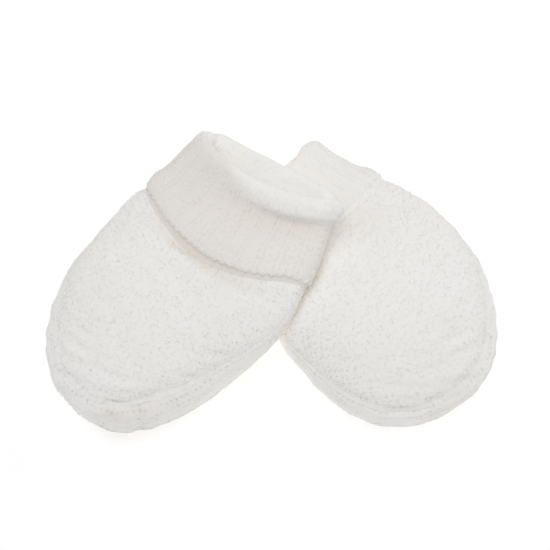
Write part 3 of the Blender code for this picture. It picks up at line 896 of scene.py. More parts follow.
@dataclass(frozen=True)
class CuffPatch(Patch):
    """The cuff's middle surface: u runs round it, v up the inner leg, over the fold and down the band.

    The shares are how much of v the inner leg and the fold take, and ring_at is the place along the
    tube where the length round it is measured.
    """

    form: MittenForm
    inner_share: float = 0.42
    fold_share: float = 0.09
    ring_at: float = 16.0

    def angle(self, u: Array) -> Array:
        """Angle round the tube, in radians, where u is a share of the length round the band."""
        turns, lengths = self.ring_table
        whole = np.floor(u)
        return np.interp(np.asarray(u) - whole, lengths, turns) + whole * 2.0 * math.pi

    @cached_property
    def ring_table(self) -> tuple[Array, Array]:
        """Angles round the tube, and the share of its length that each has run."""
        turns = np.linspace(0.0, 2.0 * math.pi, OUTLINE_STEPS)
        run = length_run(self.form.ring_surface(np.full_like(turns, self.ring_at), turns))
        return turns, run / run[-1]

    def surface(self, u: Array, v: Array) -> Array:
        """Point of the middle surface."""
        form = self.form
        angle = self.angle(u)
        degrees = np.degrees(angle)
        fold = read_round(form.turns, "fold", degrees)
        depth = read_round(form.turns, "depth", degrees)
        rise = blunt(np.sin(angle))
        wrist = WRIST_AT - WRIST_GAP / 2.0 + form.shear * rise * np.abs(rise)
        inner, radius = -WALL / 2.0, form.lip_radius
        top = fold + radius
        leg = np.clip(v / self.inner_share, 0.0, 1.0)
        turn = np.clip((v - self.inner_share) / self.fold_share, 0.0, 1.0) * math.pi
        band_share = 1.0 - self.inner_share - self.fold_share
        down = np.clip((v - self.inner_share - self.fold_share) / band_share, 0.0, 1.0)
        along = wrist + (top - wrist) * leg - radius * np.sin(turn)
        along = along + (fold + depth - top) * down
        band = read_table(form.band, "stand_off", down)
        first = read_table(form.band, "stand_off", 0.0)
        stand_off = inner + radius * (1.0 - np.cos(turn)) + (band - first) * smooth_step(down * LEG_BLEND)
        points = form.ring_surface(along, angle) + form.ring_normal(along, angle) * stand_off[..., None]
        return hold_up(points, form.floor_clear)

    def lift(self, u: Array, v: Array, points: Array) -> Array:
        """Creases, and how far the free edge settles on the hand."""
        degrees = np.degrees(self.angle(u))
        rounds = (degrees - 360.0, degrees, degrees + 360.0)
        creases = sum(add_up(self.form.cuff_swells, place, v * 100.0) for place in rounds)
        settled = read_round(self.form.turns, "settle", degrees)
        return creases - settled * smooth_step((v - SETTLE_FROM) / (1.0 - SETTLE_FROM))

    def tone(self, u: Array, v: Array) -> Array:
        """How much painted shade lies at places on the cuff: over the turned-back band, in the hollow under
        the lip, and less at the band's lower edge.
        """
        degrees = np.mod(np.degrees(self.angle(u)), 360.0)
        start = BAND_FROM - BAND_RISE * np.exp(-(((degrees - BAND_RISE_AT) / BAND_RISE_REACH) ** 2))
        shade = add_up(self.form.cuff_painted_shades, degrees, np.asarray(v) * 100.0)
        return shade + self.form.painted_shade_cream * smooth_step((v - start) / BAND_BLEND)

    def facing(self) -> float:
        """Outwards on the band, and so into the hollow on the inner leg."""
        return float(-self.form.side)

    def wrap(self, u: Array) -> Array:
        """The cuff closes on itself."""
        return np.asarray(u, float)


# ---- yarn --------------------------------------------------------------------------------------
class Fabric(Enum):
    """How the stitches of a fabric show on its face."""

    GARTER = "ridges of loops with hollows between them"
    RIB = "columns of upright stitches that stand out, with columns of bars between them"


@dataclass(frozen=True)
class Knit:
    """Sizes of a fabric's stitches.

    stitches and steps are the stitches of a course and the points of each.  bulge, loop and depth are
    how far a stitch swings along its row, across it and off the cloth, sink is how deep it lies in the
    cloth, and rib_relief how far the ribs stand out.
    """

    fabric: Fabric
    stitches: int
    steps: int = 10
    bulge: float = 0.09
    loop: float = 0.38
    depth: float = 0.12
    sink: float = 0.12
    rib_relief: float = 0.0
    yarn_radius: float = 0.85
    unevenness: float = 0.04
    seed: int = 1

    def offsets(self, count: int, rng: np.random.Generator) -> tuple[Array, Array, Array]:
        """Run of one course, in stitches, rows and millimetres.

        Args:
            count: number of stitches.
            rng: source of the small unevenness from stitch to stitch.

        Returns:
            Place along the course in stitches, place across it in rows, and height in millimetres.
        """
        t = np.arange(count * self.steps + 1) / self.steps
        uneven = smooth_noise(rng, count, t)
        turn = 2.0 * math.pi * t
        along = t + self.bulge * np.sin(2.0 * turn) + SWAY * smooth_noise(rng, count, t)
        across = -self.loop * np.cos(turn) * (1.0 + LOOP_SWAY * uneven) + SWAY * smooth_noise(rng, count, t)
        if self.fabric is Fabric.GARTER:
            height = self.depth * np.cos(2.0 * turn)
        else:
            knit = np.clip(RIB_FLATNESS * np.sin(math.pi * t), -1.0, 1.0)
            height = (self.rib_relief - self.depth * np.cos(2.0 * turn)) * knit
        return along, across, height - self.sink + self.unevenness * smooth_noise(rng, count, t)


def smooth_noise(rng: np.random.Generator, count: int, t: Array) -> Array:
    """Uneven values, one for each stitch, that pass smoothly into each other and close on themselves."""
    values = np.clip(rng.normal(size=count), -SWAY_LIMIT, SWAY_LIMIT)
    values = np.append(values, values[0])
    index = np.clip(t.astype(int), 0, count - 1)
    blend = smooth_step(t - index)
    return values[index] * (1.0 - blend) + values[index + 1] * blend


def press_on_floor(mesh: bpy.types.Mesh) -> None:
    """Lift whatever reaches below the floor up onto it."""
    places = np.empty(len(mesh.vertices) * 3)
    mesh.vertices.foreach_get("co", places)
    places[2::3] = np.maximum(places[2::3], 0.0)
    mesh.vertices.foreach_set("co", places)


def set_painted_shade(mesh: bpy.types.Mesh, tone: Array) -> None:
    """Keep on each vertex how much painted shade lies there."""
    layer = mesh.attributes.new("tone", "FLOAT", "POINT")
    layer.data.foreach_set("value", np.ascontiguousarray(tone, dtype=np.float32))


@dataclass
class YarnRun:
    """Lines of points that the yarn follows, collected before they become tubes."""

    points: list[Array] = field(default_factory=list)
    edges: list[Array] = field(default_factory=list)
    painted_shades: list[Array] = field(default_factory=list)
    count: int = 0

    def add(self, line: Array, closed: bool, tone: Array | float = 0.0) -> None:
        """Add a line of points, in millimetres, with how much painted shade lies at each."""
        self.painted_shades.append(np.broadcast_to(tone, len(line)))
        index = np.arange(len(line)) + self.count
        pairs = np.stack([index[:-1], index[1:]], axis=1)
        if closed:
            pairs = np.vstack([pairs, [index[-1], index[0]]])
        self.points.append(line)
        self.edges.append(pairs)
        self.count += len(line)

    def mesh(self, name: str) -> bpy.types.Mesh:
        """A mesh of edges only."""
        mesh = bpy.data.meshes.new(name)
        mesh.from_pydata(
            (np.concatenate(self.points) * MM).tolist(), np.concatenate(self.edges).tolist(), []
        )
        set_painted_shade(mesh, np.concatenate(self.painted_shades))
        return mesh


def rows_of_yarn(run: YarnRun, patch: HandPatch, knit: Knit, rows: Array, floor: float) -> None:
    """Run a course of loops over a patch for each row; its ends dip into the seam.

    Args:
        run: where the yarn is added.
        patch: the cloth.
        knit: its stitches.
        rows: value of v at the middle of each row.
        floor: lowest height that the yarn's middle may have.
    """
    rng = np.random.default_rng(knit.seed)
    step = np.gradient(rows)
    for number, row in enumerate(rows):
        along, across, height = knit.offsets(knit.stitches, rng)
        inside = np.minimum(along, knit.stitches - along)
        height = height - END_DIP * np.exp(-((inside / END_REACH) ** 2))
        u = np.clip(along / knit.stitches, 0.0, 1.0)
        v = np.clip(row + across * step[number], 0.0, 1.0)
        place_along, place_across, _ = patch.plan(u, v)
        height = height + add_up(patch.form.stitch_swells, place_along, place_across)
        line = hold_up(patch.place(u, v, height), floor)
        # the yarn carries the hand's painted shade
        run.add(line, False, add_up(patch.form.hand_painted_shades, place_along, place_across))


def rings_of_yarn(run: YarnRun, patch: CuffPatch, knit: Knit, rows: Array, floor: float) -> None:
    """Run a closed course of stitches round a tube of cloth for each row.

    Args:
        run: where the yarn is added.
        patch: the cloth, whose u closes on itself.
        knit: its stitches.
        rows: value of v at the middle of each row.
        floor: lowest height that the yarn's middle may have.
    """
    rng = np.random.default_rng(knit.seed)
    step = np.gradient(rows)
    for number, row in enumerate(rows):
        along, across, height = knit.offsets(knit.stitches, rng)
        place = row + across * step[number]
        inside = 1.0 - smooth_step((place - INSIDE_UNTIL) / INSIDE_BLEND)
        line = patch.place(along / knit.stitches, place, height - INSIDE_SINK * inside)[:-1]
        run.add(hold_up(line, floor), True, patch.tone(along / knit.stitches, place)[:-1])


def overcast(
    run: YarnRun,
    line: Array,
    out: Array,
    pitch: float,
    reach: float,
    height: float,
    closed: bool,
    tone: float = 0.0,
) -> None:
    """Wind yarn over an edge or a seam, in even slanting stitches.

    Args:
        run: where the yarn is added.
        line: points along the edge.
        out: unit direction away from the cloth at each point.
        pitch: length of edge that one stitch takes.
        reach: how far a stitch goes to each side of the edge.
        height: how far it stands off the edge, and how far it dips again behind it.
        closed: whether the edge ends where it starts.
        tone: how much painted shade the yarn carries.
    """
    length = length_run(line)
    count = round(length[-1] / pitch)
    t = np.arange(count * OVERCAST_STEPS + (0 if closed else 1)) / OVERCAST_STEPS
    place = t / count * length[-1]
    middle = read_line(line, length, place)
    normal = unit(read_line(out, length, place))
    tangent = unit(np.gradient(middle, axis=0))
    side = unit(np.cross(tangent, normal))
    turn = 2.0 * math.pi * t
    yarn = middle + side * (reach * np.cos(turn))[:, None] + normal * (height * np.sin(turn))[:, None]
    run.add(yarn, closed, tone)


# ---- node trees --------------------------------------------------------------------------------
def new_tree(name: str, inputs: dict[str, tuple[str, float | int | None]]) -> bpy.types.NodeTree:
    """A geometry tree with a geometry going in and out, and named inputs.

    Args:
        name: the tree's name.
        inputs: socket type and default of each further input, by name.

    Returns:
        The tree, with its Group Input and Group Output in place.
    """
    tree = bpy.data.node_groups.new(name, "GeometryNodeTree")
    tree.interface.new_socket("Geometry", in_out="INPUT", socket_type="NodeSocketGeometry")
    for label, (kind, default) in inputs.items():
        socket = tree.interface.new_socket(label, in_out="INPUT", socket_type=kind)
        if default is not None:
            socket.default_value = default
    tree.interface.new_socket("Geometry", in_out="OUTPUT", socket_type="NodeSocketGeometry")
    tree.nodes.new("NodeGroupInput").name = "in"
    tree.nodes.new("NodeGroupOutput").name = "out"
    return tree


def add_node(
    tree: bpy.types.NodeTree,
    kind: str,
    values: dict[str, object] | None = None,
    **settings: object,
) -> bpy.types.Node:
    """Add a node with settings, and values on its inputs by name."""
    node = tree.nodes.new(kind)
    for key, value in settings.items():
        setattr(node, key, value)
    for key, value in (values or {}).items():
        node.inputs[key].default_value = value
    return node


def calculate(
    tree: bpy.types.NodeTree,
    operation: str,
    *terms: bpy.types.NodeSocket | float,
) -> bpy.types.NodeSocket:
    """Add a math node.

    Args:
        tree: where it is added.
        operation: what it does.
        terms: for each of its inputs, the socket that feeds it or a plain number.

    Returns:
        The socket that gives its result.
    """
    node = add_node(tree, "ShaderNodeMath", operation=operation)
    for socket, term in zip(node.inputs, terms):
        if isinstance(term, bpy.types.NodeSocket):
            tree.links.new(term, socket)
        else:
            socket.default_value = term
    return node.outputs[0]


def end_tree(tree: bpy.types.NodeTree, made: bpy.types.NodeSocket) -> bpy.types.NodeTree:
    """Make what a tree has made plain, give it the material that goes in, and let it out."""
    real = add_node(tree, "GeometryNodeRealizeInstances")
    dress = add_node(tree, "GeometryNodeSetMaterial")
    tree.links.new(made, real.inputs[0])
    tree.links.new(real.outputs[0], dress.inputs["Geometry"])
    tree.links.new(tree.nodes["in"].outputs["Material"], dress.inputs["Material"])
    tree.links.new(dress.outputs[0], tree.nodes["out"].inputs[0])
    return tree


def yarn_tree() -> bpy.types.NodeTree:
    """Tree that turns polylines into round yarn and keeps how the yarn is twisted."""
    tree = new_tree(
        "round yarn",
        {
            "Radius": ("NodeSocketFloat", 0.0005),
            "Sides": ("NodeSocketInt", YARN_SIDES),
            "Plies": ("NodeSocketFloat", YARN_PLIES),
            "Material": ("NodeSocketMaterial", None),
        },
    )
    link = tree.links.new
    source = tree.nodes["in"].outputs
    curve = add_node(tree, "GeometryNodeMeshToCurve")
    link(source["Geometry"], curve.inputs[0])
    length = add_node(tree, "GeometryNodeSplineParameter")
    keep = add_node(tree, "GeometryNodeCaptureAttribute")
    keep.capture_items.new("FLOAT", "Length")
    link(curve.outputs[0], keep.inputs["Geometry"])
    link(length.outputs["Length"], keep.inputs["Length"])
    circle = add_node(tree, "GeometryNodeCurvePrimitiveCircle")
    link(source["Sides"], circle.inputs["Resolution"])
    link(source["Radius"], circle.inputs["Radius"])
    around = add_node(tree, "GeometryNodeSplineParameter")
    turns = calculate(tree, "MULTIPLY", around.outputs["Factor"], 2.0 * math.pi)
    plied = calculate(tree, "MULTIPLY", turns, source["Plies"])
    twist = add_node(tree, "GeometryNodeCaptureAttribute")
    for label in ("Cosine", "Sine"):
        twist.capture_items.new("FLOAT", label)
        link(calculate(tree, label.upper(), plied), twist.inputs[label])
    link(circle.outputs[0], twist.inputs["Geometry"])
    tube = add_node(tree, "GeometryNodeCurveToMesh", {"Fill Caps": True})
    link(keep.outputs["Geometry"], tube.inputs["Curve"])
    link(twist.outputs["Geometry"], tube.inputs["Profile Curve"])
    pack = add_node(tree, "ShaderNodeCombineXYZ")
    link(twist.outputs["Cosine"], pack.inputs[0])
    link(twist.outputs["Sine"], pack.inputs[1])
    link(keep.outputs["Length"], pack.inputs[2])
    store = add_node(tree, "GeometryNodeStoreNamedAttribute", {"Name": "twist"})
    store.data_type, store.domain = "FLOAT_VECTOR", "POINT"
    link(tube.outputs[0], store.inputs["Geometry"])
    link(pack.outputs[0], store.inputs["Value"])
    smooth = add_node(tree, "GeometryNodeSetShadeSmooth")
    link(store.outputs[0], smooth.inputs[0])
    return end_tree(tree, smooth.outputs[0])


def fibre_tree() -> bpy.types.NodeTree:
    """Tree that lets short curled fibres stand and lie all over a surface."""
    tree = new_tree(
        "loose fibres",
        {
            "Density": ("NodeSocketFloat", 1.0e6),
            "Length": ("NodeSocketFloat", 0.002),
            "Thickness": ("NodeSocketFloat", 0.00003),
            "Seed": ("NodeSocketInt", 1),
            "Material": ("NodeSocketMaterial", None),
        },
    )
    link = tree.links.new
    source = tree.nodes["in"].outputs
    points = add_node(tree, "GeometryNodeDistributePointsOnFaces")
    link(source["Geometry"], points.inputs["Mesh"])
    link(source["Density"], points.inputs["Density"])
    link(source["Seed"], points.inputs["Seed"])
    curl = {"Resolution": 3, "Radius": FIBRE_CURL_RADIUS, "Sweep Angle": FIBRE_CURL}
    arc = add_node(tree, "GeometryNodeCurveArc", curl)
    taper = add_node(tree, "GeometryNodeSetCurveRadius")
    factor = add_node(tree, "GeometryNodeSplineParameter")
    narrow = add_node(tree, "ShaderNodeMapRange", {"To Min": 1.0, "To Max": FIBRE_TIP})
    link(factor.outputs["Factor"], narrow.inputs["Value"])
    link(arc.outputs[0], taper.inputs["Curve"])
    link(narrow.outputs[0], taper.inputs["Radius"])
    circle = add_node(tree, "GeometryNodeCurvePrimitiveCircle", {"Resolution": 3})
    link(calculate(tree, "DIVIDE", source["Thickness"], source["Length"]), circle.inputs["Radius"])
    tube = add_node(tree, "GeometryNodeCurveToMesh")
    link(taper.outputs[0], tube.inputs["Curve"])
    link(circle.outputs[0], tube.inputs["Profile Curve"])
    root = add_node(tree, "GeometryNodeTransform", {"Translation": (-FIBRE_CURL_RADIUS, 0.0, 0.0)})
    link(tube.outputs[0], root.inputs["Geometry"])
    upright = add_node(tree, "GeometryNodeTransform", {"Rotation": (math.pi / 2.0, 0.0, 0.0)})
    link(root.outputs[0], upright.inputs["Geometry"])
    tilt = add_node(tree, "FunctionNodeRandomValue", data_type="FLOAT_VECTOR")
    tilt.inputs[0].default_value = (-FIBRE_LEAN, -FIBRE_LEAN, -math.pi)
    tilt.inputs[1].default_value = (FIBRE_LEAN, FIBRE_LEAN, math.pi)
    link(source["Seed"], tilt.inputs["Seed"])
    turned = add_node(tree, "FunctionNodeRotateRotation", rotation_space="LOCAL")
    link(points.outputs["Rotation"], turned.inputs[0])
    euler = add_node(tree, "FunctionNodeEulerToRotation")
    link(tilt.outputs[0], euler.inputs[0])
    link(euler.outputs[0], turned.inputs[1])
    size = add_node(tree, "FunctionNodeRandomValue", data_type="FLOAT")
    size.inputs["Min"].default_value = FIBRE_SHORTEST
    size.inputs["Max"].default_value = FIBRE_LONGEST
    link(source["Seed"], size.inputs["Seed"])
    place = add_node(tree, "GeometryNodeInstanceOnPoints")
    link(points.outputs["Points"], place.inputs["Points"])
    link(upright.outputs[0], place.inputs["Instance"])
    link(turned.outputs[0], place.inputs["Rotation"])
    link(calculate(tree, "MULTIPLY", size.outputs[1], source["Length"]), place.inputs["Scale"])
    return end_tree(tree, place.outputs[0])


def add_object(name: str, data: bpy.types.ID) -> bpy.types.Object:
    """Put a new object with some data into the scene."""
    thing = bpy.data.objects.new(name, data)
    bpy.context.scene.collection.objects.link(thing)
    return thing


def grow(
    name: str,
    mesh: bpy.types.Mesh,
    tree: bpy.types.NodeTree,
    values: dict[str, object],
) -> bpy.types.Object:
    """Run a tree on a mesh and keep the result as a plain mesh object.

    Args:
        name: the new object's name.
        mesh: what the tree works on.
        tree: the geometry tree.
        values: its inputs by name.

    Returns:
        The object, with no modifier left on it.
    """
    holder = add_object(name, mesh)
    modifier = holder.modifiers.new("made by nodes", "NODES")
    modifier.node_group = tree
    for item in tree.interface.items_tree:
        if item.in_out == "INPUT" and item.name in values:
            modifier[item.identifier] = values[item.name]
    bpy.context.view_layer.update()
    graph = bpy.context.evaluated_depsgraph_get()
    made = bpy.data.meshes.new_from_object(holder.evaluated_get(graph))
    made.name = name
    bpy.data.objects.remove(holder, do_unlink=True)
    return add_object(name, made)


# ---- finishes ----------------------------------------------------------------------------------
@dataclass(frozen=True)
class WoolFinish:
    """Soft undyed wool: its colours, its sheen and how strongly its plies and fibres show.

    colour and warm are the two that a broad soft mottle blends, and the third colour is the darker,
    creamier wool of painted shade, mixed in by the share of painted shade that a piece keeps on its
    vertices.  ply_pitch is the length in which a strand goes once round the yarn, and follows_yarn says
    whether the piece is yarn that shows its strands.
    """

    name: str
    colour: tuple[float, float, float]
    warm: tuple[float, float, float]
    painted_shade_cream: tuple[float, float, float]
    roughness: float = 0.95
    sheen: float = 0.3
    ply_bump: float = 0.2
    fibre_bump: float = 0.3
    mottle_bump: float = 0.4
    ply_pitch: float = 0.0028
    follows_yarn: bool = True

    def material(self) -> bpy.types.Material:
        """Build the node material."""
        material = bpy.data.materials.new(self.name)
        material.use_nodes = True
        tree = material.node_tree
        link = tree.links.new
        shader = tree.nodes["Principled BSDF"]
        shader.inputs["Roughness"].default_value = self.roughness
        shader.inputs["Specular IOR Level"].default_value = 0.2
        shader.inputs["Sheen Weight"].default_value = self.sheen
        shader.inputs["Sheen Roughness"].default_value = 0.6
        place = add_node(tree, "ShaderNodeTexCoord")
        broad = add_node(tree, "ShaderNodeTexNoise", {"Scale": 45.0, "Detail": 3.0, "Roughness": 0.55})
        link(place.outputs["Object"], broad.inputs["Vector"])
        blend = add_node(tree, "ShaderNodeMapRange", {"From Min": 0.35, "From Max": 0.68})
        link(broad.outputs["Fac"], blend.inputs["Value"])
        mix = add_node(tree, "ShaderNodeMix", data_type="RGBA")
        mix.inputs["A"].default_value = (*self.colour, 1.0)
        mix.inputs["B"].default_value = (*self.warm, 1.0)
        link(blend.outputs[0], mix.inputs["Factor"])
        # painted shade: the share kept on the vertices mixes in the darker, creamier colour where shade
        # falls
        tone = add_node(tree, "ShaderNodeAttribute", attribute_name="tone")
        wool = add_node(tree, "ShaderNodeMix", data_type="RGBA")
        wool.inputs["B"].default_value = (*self.painted_shade_cream, 1.0)
        link(mix.outputs["Result"], wool.inputs["A"])
        link(tone.outputs["Fac"], wool.inputs["Factor"])
        link(wool.outputs["Result"], shader.inputs["Base Color"])
        fibres = add_node(tree, "ShaderNodeTexNoise", {"Scale": 5200.0, "Detail": 2.0, "Roughness": 0.6})
        link(place.outputs["Object"], fibres.inputs["Vector"])
        cloud = add_node(tree, "ShaderNodeTexNoise", {"Scale": 420.0, "Detail": 1.5, "Roughness": 0.5})
        link(place.outputs["Object"], cloud.inputs["Vector"])
        mottle = add_node(tree, "ShaderNodeBump", {"Strength": self.mottle_bump, "Distance": 0.0003})
        link(cloud.outputs["Fac"], mottle.inputs["Height"])
        fine = add_node(tree, "ShaderNodeBump", {"Strength": self.fibre_bump, "Distance": 0.0001})
        link(mottle.outputs["Normal"], fine.inputs["Normal"])
        link(fibres.outputs["Fac"], fine.inputs["Height"])
        last = fine
        if self.follows_yarn:
            last = self.add_plies(tree, fine)
        link(last.outputs["Normal"], shader.inputs["Normal"])
        return material

    def add_plies(self, tree: bpy.types.NodeTree, under: bpy.types.Node) -> bpy.types.Node:
        """Add the furrows between the yarn's twisted plies.

        Args:
            tree: the material's tree.
            under: bump node whose normal the furrows are laid on.

        Returns:
            The last bump node.
        """
        link = tree.links.new
        twist = add_node(tree, "ShaderNodeAttribute", attribute_name="twist")
        parts = add_node(tree, "ShaderNodeSeparateXYZ")
        link(twist.outputs["Vector"], parts.inputs[0])
        turn = calculate(tree, "MULTIPLY", parts.outputs["Z"], 2.0 * math.pi / self.ply_pitch)
        furrows = [
            calculate(tree, "MULTIPLY", calculate(tree, operation, turn), parts.outputs[axis])
            for operation, axis in (("SINE", "X"), ("COSINE", "Y"))
        ]
        bump = add_node(tree, "ShaderNodeBump", {"Strength": self.ply_bump, "Distance": 0.00012})
        link(calculate(tree, "ADD", *furrows), bump.inputs["Height"])
        link(under.outputs["Normal"], bump.inputs["Normal"])
        return bump


PAINTED_SHADE_COLOUR = (0.810, 0.738, 0.672)   # colour of painted shade: darker, creamier wool, which a full share shows
YARN = WoolFinish("soft white yarn", (0.970, 0.959, 0.940), (0.964, 0.950, 0.925), PAINTED_SHADE_COLOUR)
CORE = WoolFinish(
    "wool inside the stitches",
    (0.970, 0.958, 0.938),
    (0.963, 0.948, 0.921),
    PAINTED_SHADE_COLOUR,
    follows_yarn=False,
)
CUFF_YARN = replace(YARN, name="soft cuff yarn", mottle_bump=0.7)
CUFF_CORE = replace(CORE, name="wool inside the cuff", mottle_bump=0.7)
DOWN = WoolFinish(
    "loose wool fibres",
    (0.972, 0.964, 0.946),
    (0.964, 0.952, 0.930),
    PAINTED_SHADE_COLOUR,
    follows_yarn=False,
)


# ---- pieces ------------------------------------------------------------------------------------
CUFF_FLAT = {"left": (0.124, 0.053), "right": (0.112, 0.050)}  # cloth of each cuff as knitted, in metres


@dataclass
class Workshop:
    """Materials and trees that every piece is made with."""

    yarn: bpy.types.Material
    cuff_yarn: bpy.types.Material
    core: bpy.types.Material
    cuff_core: bpy.types.Material
    down: bpy.types.Material
    yarn_nodes: bpy.types.NodeTree
    fibre_nodes: bpy.types.NodeTree

    @classmethod
    def open(cls) -> Workshop:
        """Make them all."""
        wools = [finish.material() for finish in (YARN, CUFF_YARN, CORE, CUFF_CORE, DOWN)]
        return cls(*wools, yarn_tree(), fibre_tree())

    def spin(self, name: str, run: YarnRun, knit: Knit) -> bpy.types.Object:
        """Make yarn of collected lines.

        Args:
            name: the piece's name.
            run: the lines.
            knit: the yarn's radius, and the fabric that it is knitted into.

        Returns:
            The yarn's object.
        """
        wool = self.cuff_yarn if knit.fabric is Fabric.RIB else self.yarn
        values = {
            "Radius": knit.yarn_radius * MM,
            "Sides": YARN_SIDES,
            "Plies": YARN_PLIES,
            "Material": wool,
        }
        piece = grow(name, run.mesh(name), self.yarn_nodes, values)
        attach(piece, "root")
        return piece

    def scatter(
        self,
        name: str,
        skin: bpy.types.Mesh,
        density: float,
        seed: int,
    ) -> bpy.types.Object:
        """Let loose fibres stand on a skin, and none of them reach below the floor.

        Args:
            name: the piece's name.
            skin: surface that the fibres stand on.
            density: fibres for each square millimetre.
            seed: seed of their places.

        Returns:
            The fibres' object.
        """
        values = {
            "Density": density / MM ** 2,
            "Length": FIBRE_LENGTH * MM,
            "Thickness": FIBRE_THICKNESS * MM,
            "Seed": seed,
            "Material": self.down,
        }
        piece = grow(name, skin, self.fibre_nodes, values)
        press_on_floor(piece.data)
        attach(piece, "root")
        return piece


def grid_mesh(name: str, points: Array, closed_round: bool, flip: bool) -> bpy.types.Mesh:
    """A smooth open mesh over a grid of points.

    Args:
        name: the mesh's name.
        points: rows by columns by 3, in millimetres.
        closed_round: whether the last column joins the first.
        flip: whether the faces are turned over.

    Returns:
        The mesh, in metres.
    """
    rows, columns = points.shape[:2]
    here = np.arange(rows * columns).reshape(rows, columns)
    after = np.roll(here, -1, axis=1)
    if not closed_round:
        here, after = here[:, :-1], after[:, :-1]
    quads = np.stack([here[:-1], after[:-1], after[1:], here[1:]], axis=-1).reshape(-1, 4)
    if flip:
        quads = quads[:, ::-1]
    mesh = bpy.data.meshes.new(name)
    mesh.from_pydata((points.reshape(-1, 3) * MM).tolist(), [], quads.tolist())
    mesh.shade_smooth()
    return mesh


def dish_mesh(name: str, base: Array, sides: Array, flip: bool) -> bpy.types.Mesh:
    """A grid of points with strips that carry it on from its sides and its far end.

    Args:
        name: the mesh's name.
        base: rows by columns by 3, in millimetres.
        sides: lines of points, each as long as the base's edge round its sides and far end.
        flip: whether the faces are turned over.

    Returns:
        The mesh, in metres.
    """
    rows, columns = base.shape[:2]
    index = np.arange(rows * columns).reshape(rows, columns)
    edge = np.concatenate([index[:, 0], index[-1, 1:-1], index[::-1, -1]])
    corners = [index[:-1, :-1], index[:-1, 1:], index[1:, 1:], index[1:, :-1]]
    faces = [np.stack(corners, axis=-1).reshape(-1, 4)]
    for number in range(len(sides)):
        outer = rows * columns + number * len(edge) + np.arange(len(edge))
        faces.append(np.stack([edge[:-1], edge[1:], outer[1:], outer[:-1]], axis=-1))
        edge = outer
    quads = np.concatenate(faces)
    if flip:
        quads = quads[:, ::-1]
    points = np.concatenate([base.reshape(-1, 3), sides.reshape(-1, 3)]) * MM
    mesh = bpy.data.meshes.new(name)
    mesh.from_pydata(points.tolist(), [], quads.tolist())
    mesh.shade_smooth()
    return mesh


def cloth_sheet(
    mesh: bpy.types.Mesh,
    tone: Array,
    material: bpy.types.Material,
    thickness: float,
) -> bpy.types.Object:
    """Make a sheet of wool of an open surface.

    Args:
        mesh: open surface with its faces outwards; the piece takes its name.
        tone: how much painted shade lies at each of its vertices.
        material: the sheet's material.
        thickness: in millimetres, half of it to each side of the surface.

    Returns:
        The sheet's object.
    """
    set_painted_shade(mesh, tone)
    mesh.materials.append(material)
    piece = add_object(mesh.name, mesh)
    thick = piece.modifiers.new("sheet thickness", "SOLIDIFY")
    thick.thickness = thickness * MM
    thick.offset = 0.0
    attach(piece, "root")
    return piece


def shares(size: tuple[int, int], closed: bool = False) -> tuple[Array, Array]:
    """Grids of u and v over a whole patch.

    Args:
        size: steps of u and steps of v.
        closed: whether u closes on itself, so that its last place is left out.

    Returns:
        Values of u and values of v, each with a row for each place of v.
    """
    u = np.linspace(0.0, 1.0, size[0] + 1)
    v = np.linspace(0.0, 1.0, size[1] + 1)
    return tuple(np.meshgrid(u[:-1] if closed else u, v))


def sample(patch: Patch, size: tuple[int, int], height: float, closed: bool = False) -> Array:
    """Grid of a patch's points at one height above the middle of its wall, held off the floor."""
    return hold_up(patch.place(*shares(size, closed), height), SHEET_FLOOR)


def nearest(patches: tuple[Patch, ...], height: float, places: Array) -> Array:
    """Points of the patches that lie nearest to some places.

    Args:
        patches: the cloth that is looked at.
        height: height of its points over the middle of the wall.
        places: points in millimetres.

    Returns:
        The nearest point to each place.
    """
    skin = np.concatenate([sample(patch, LOOKUP_GRID, height).reshape(-1, 3) for patch in patches])
    return np.stack([skin[((skin - place) ** 2).sum(axis=1).argmin()] for place in places])


def bridge(start: Array, end: Array, hollow: Array) -> Array:
    """Lay a soft strip of wool between two lines of points.

    Args:
        start: points along one side.
        end: points along the other.
        hollow: how far the strip sags in its middle at each place, as a vector.

    Returns:
        Grid of points, FILL_ROWS from side to side, held off the floor.
    """
    middle = (start + end) / 2.0 - hollow * 2.0
    part = np.linspace(0.0, 1.0, FILL_ROWS)[:, None, None]
    strip = (1.0 - part) ** 2 * start + 2.0 * part * (1.0 - part) * middle + part ** 2 * end
    return hold_up(strip, SHEET_FLOOR)


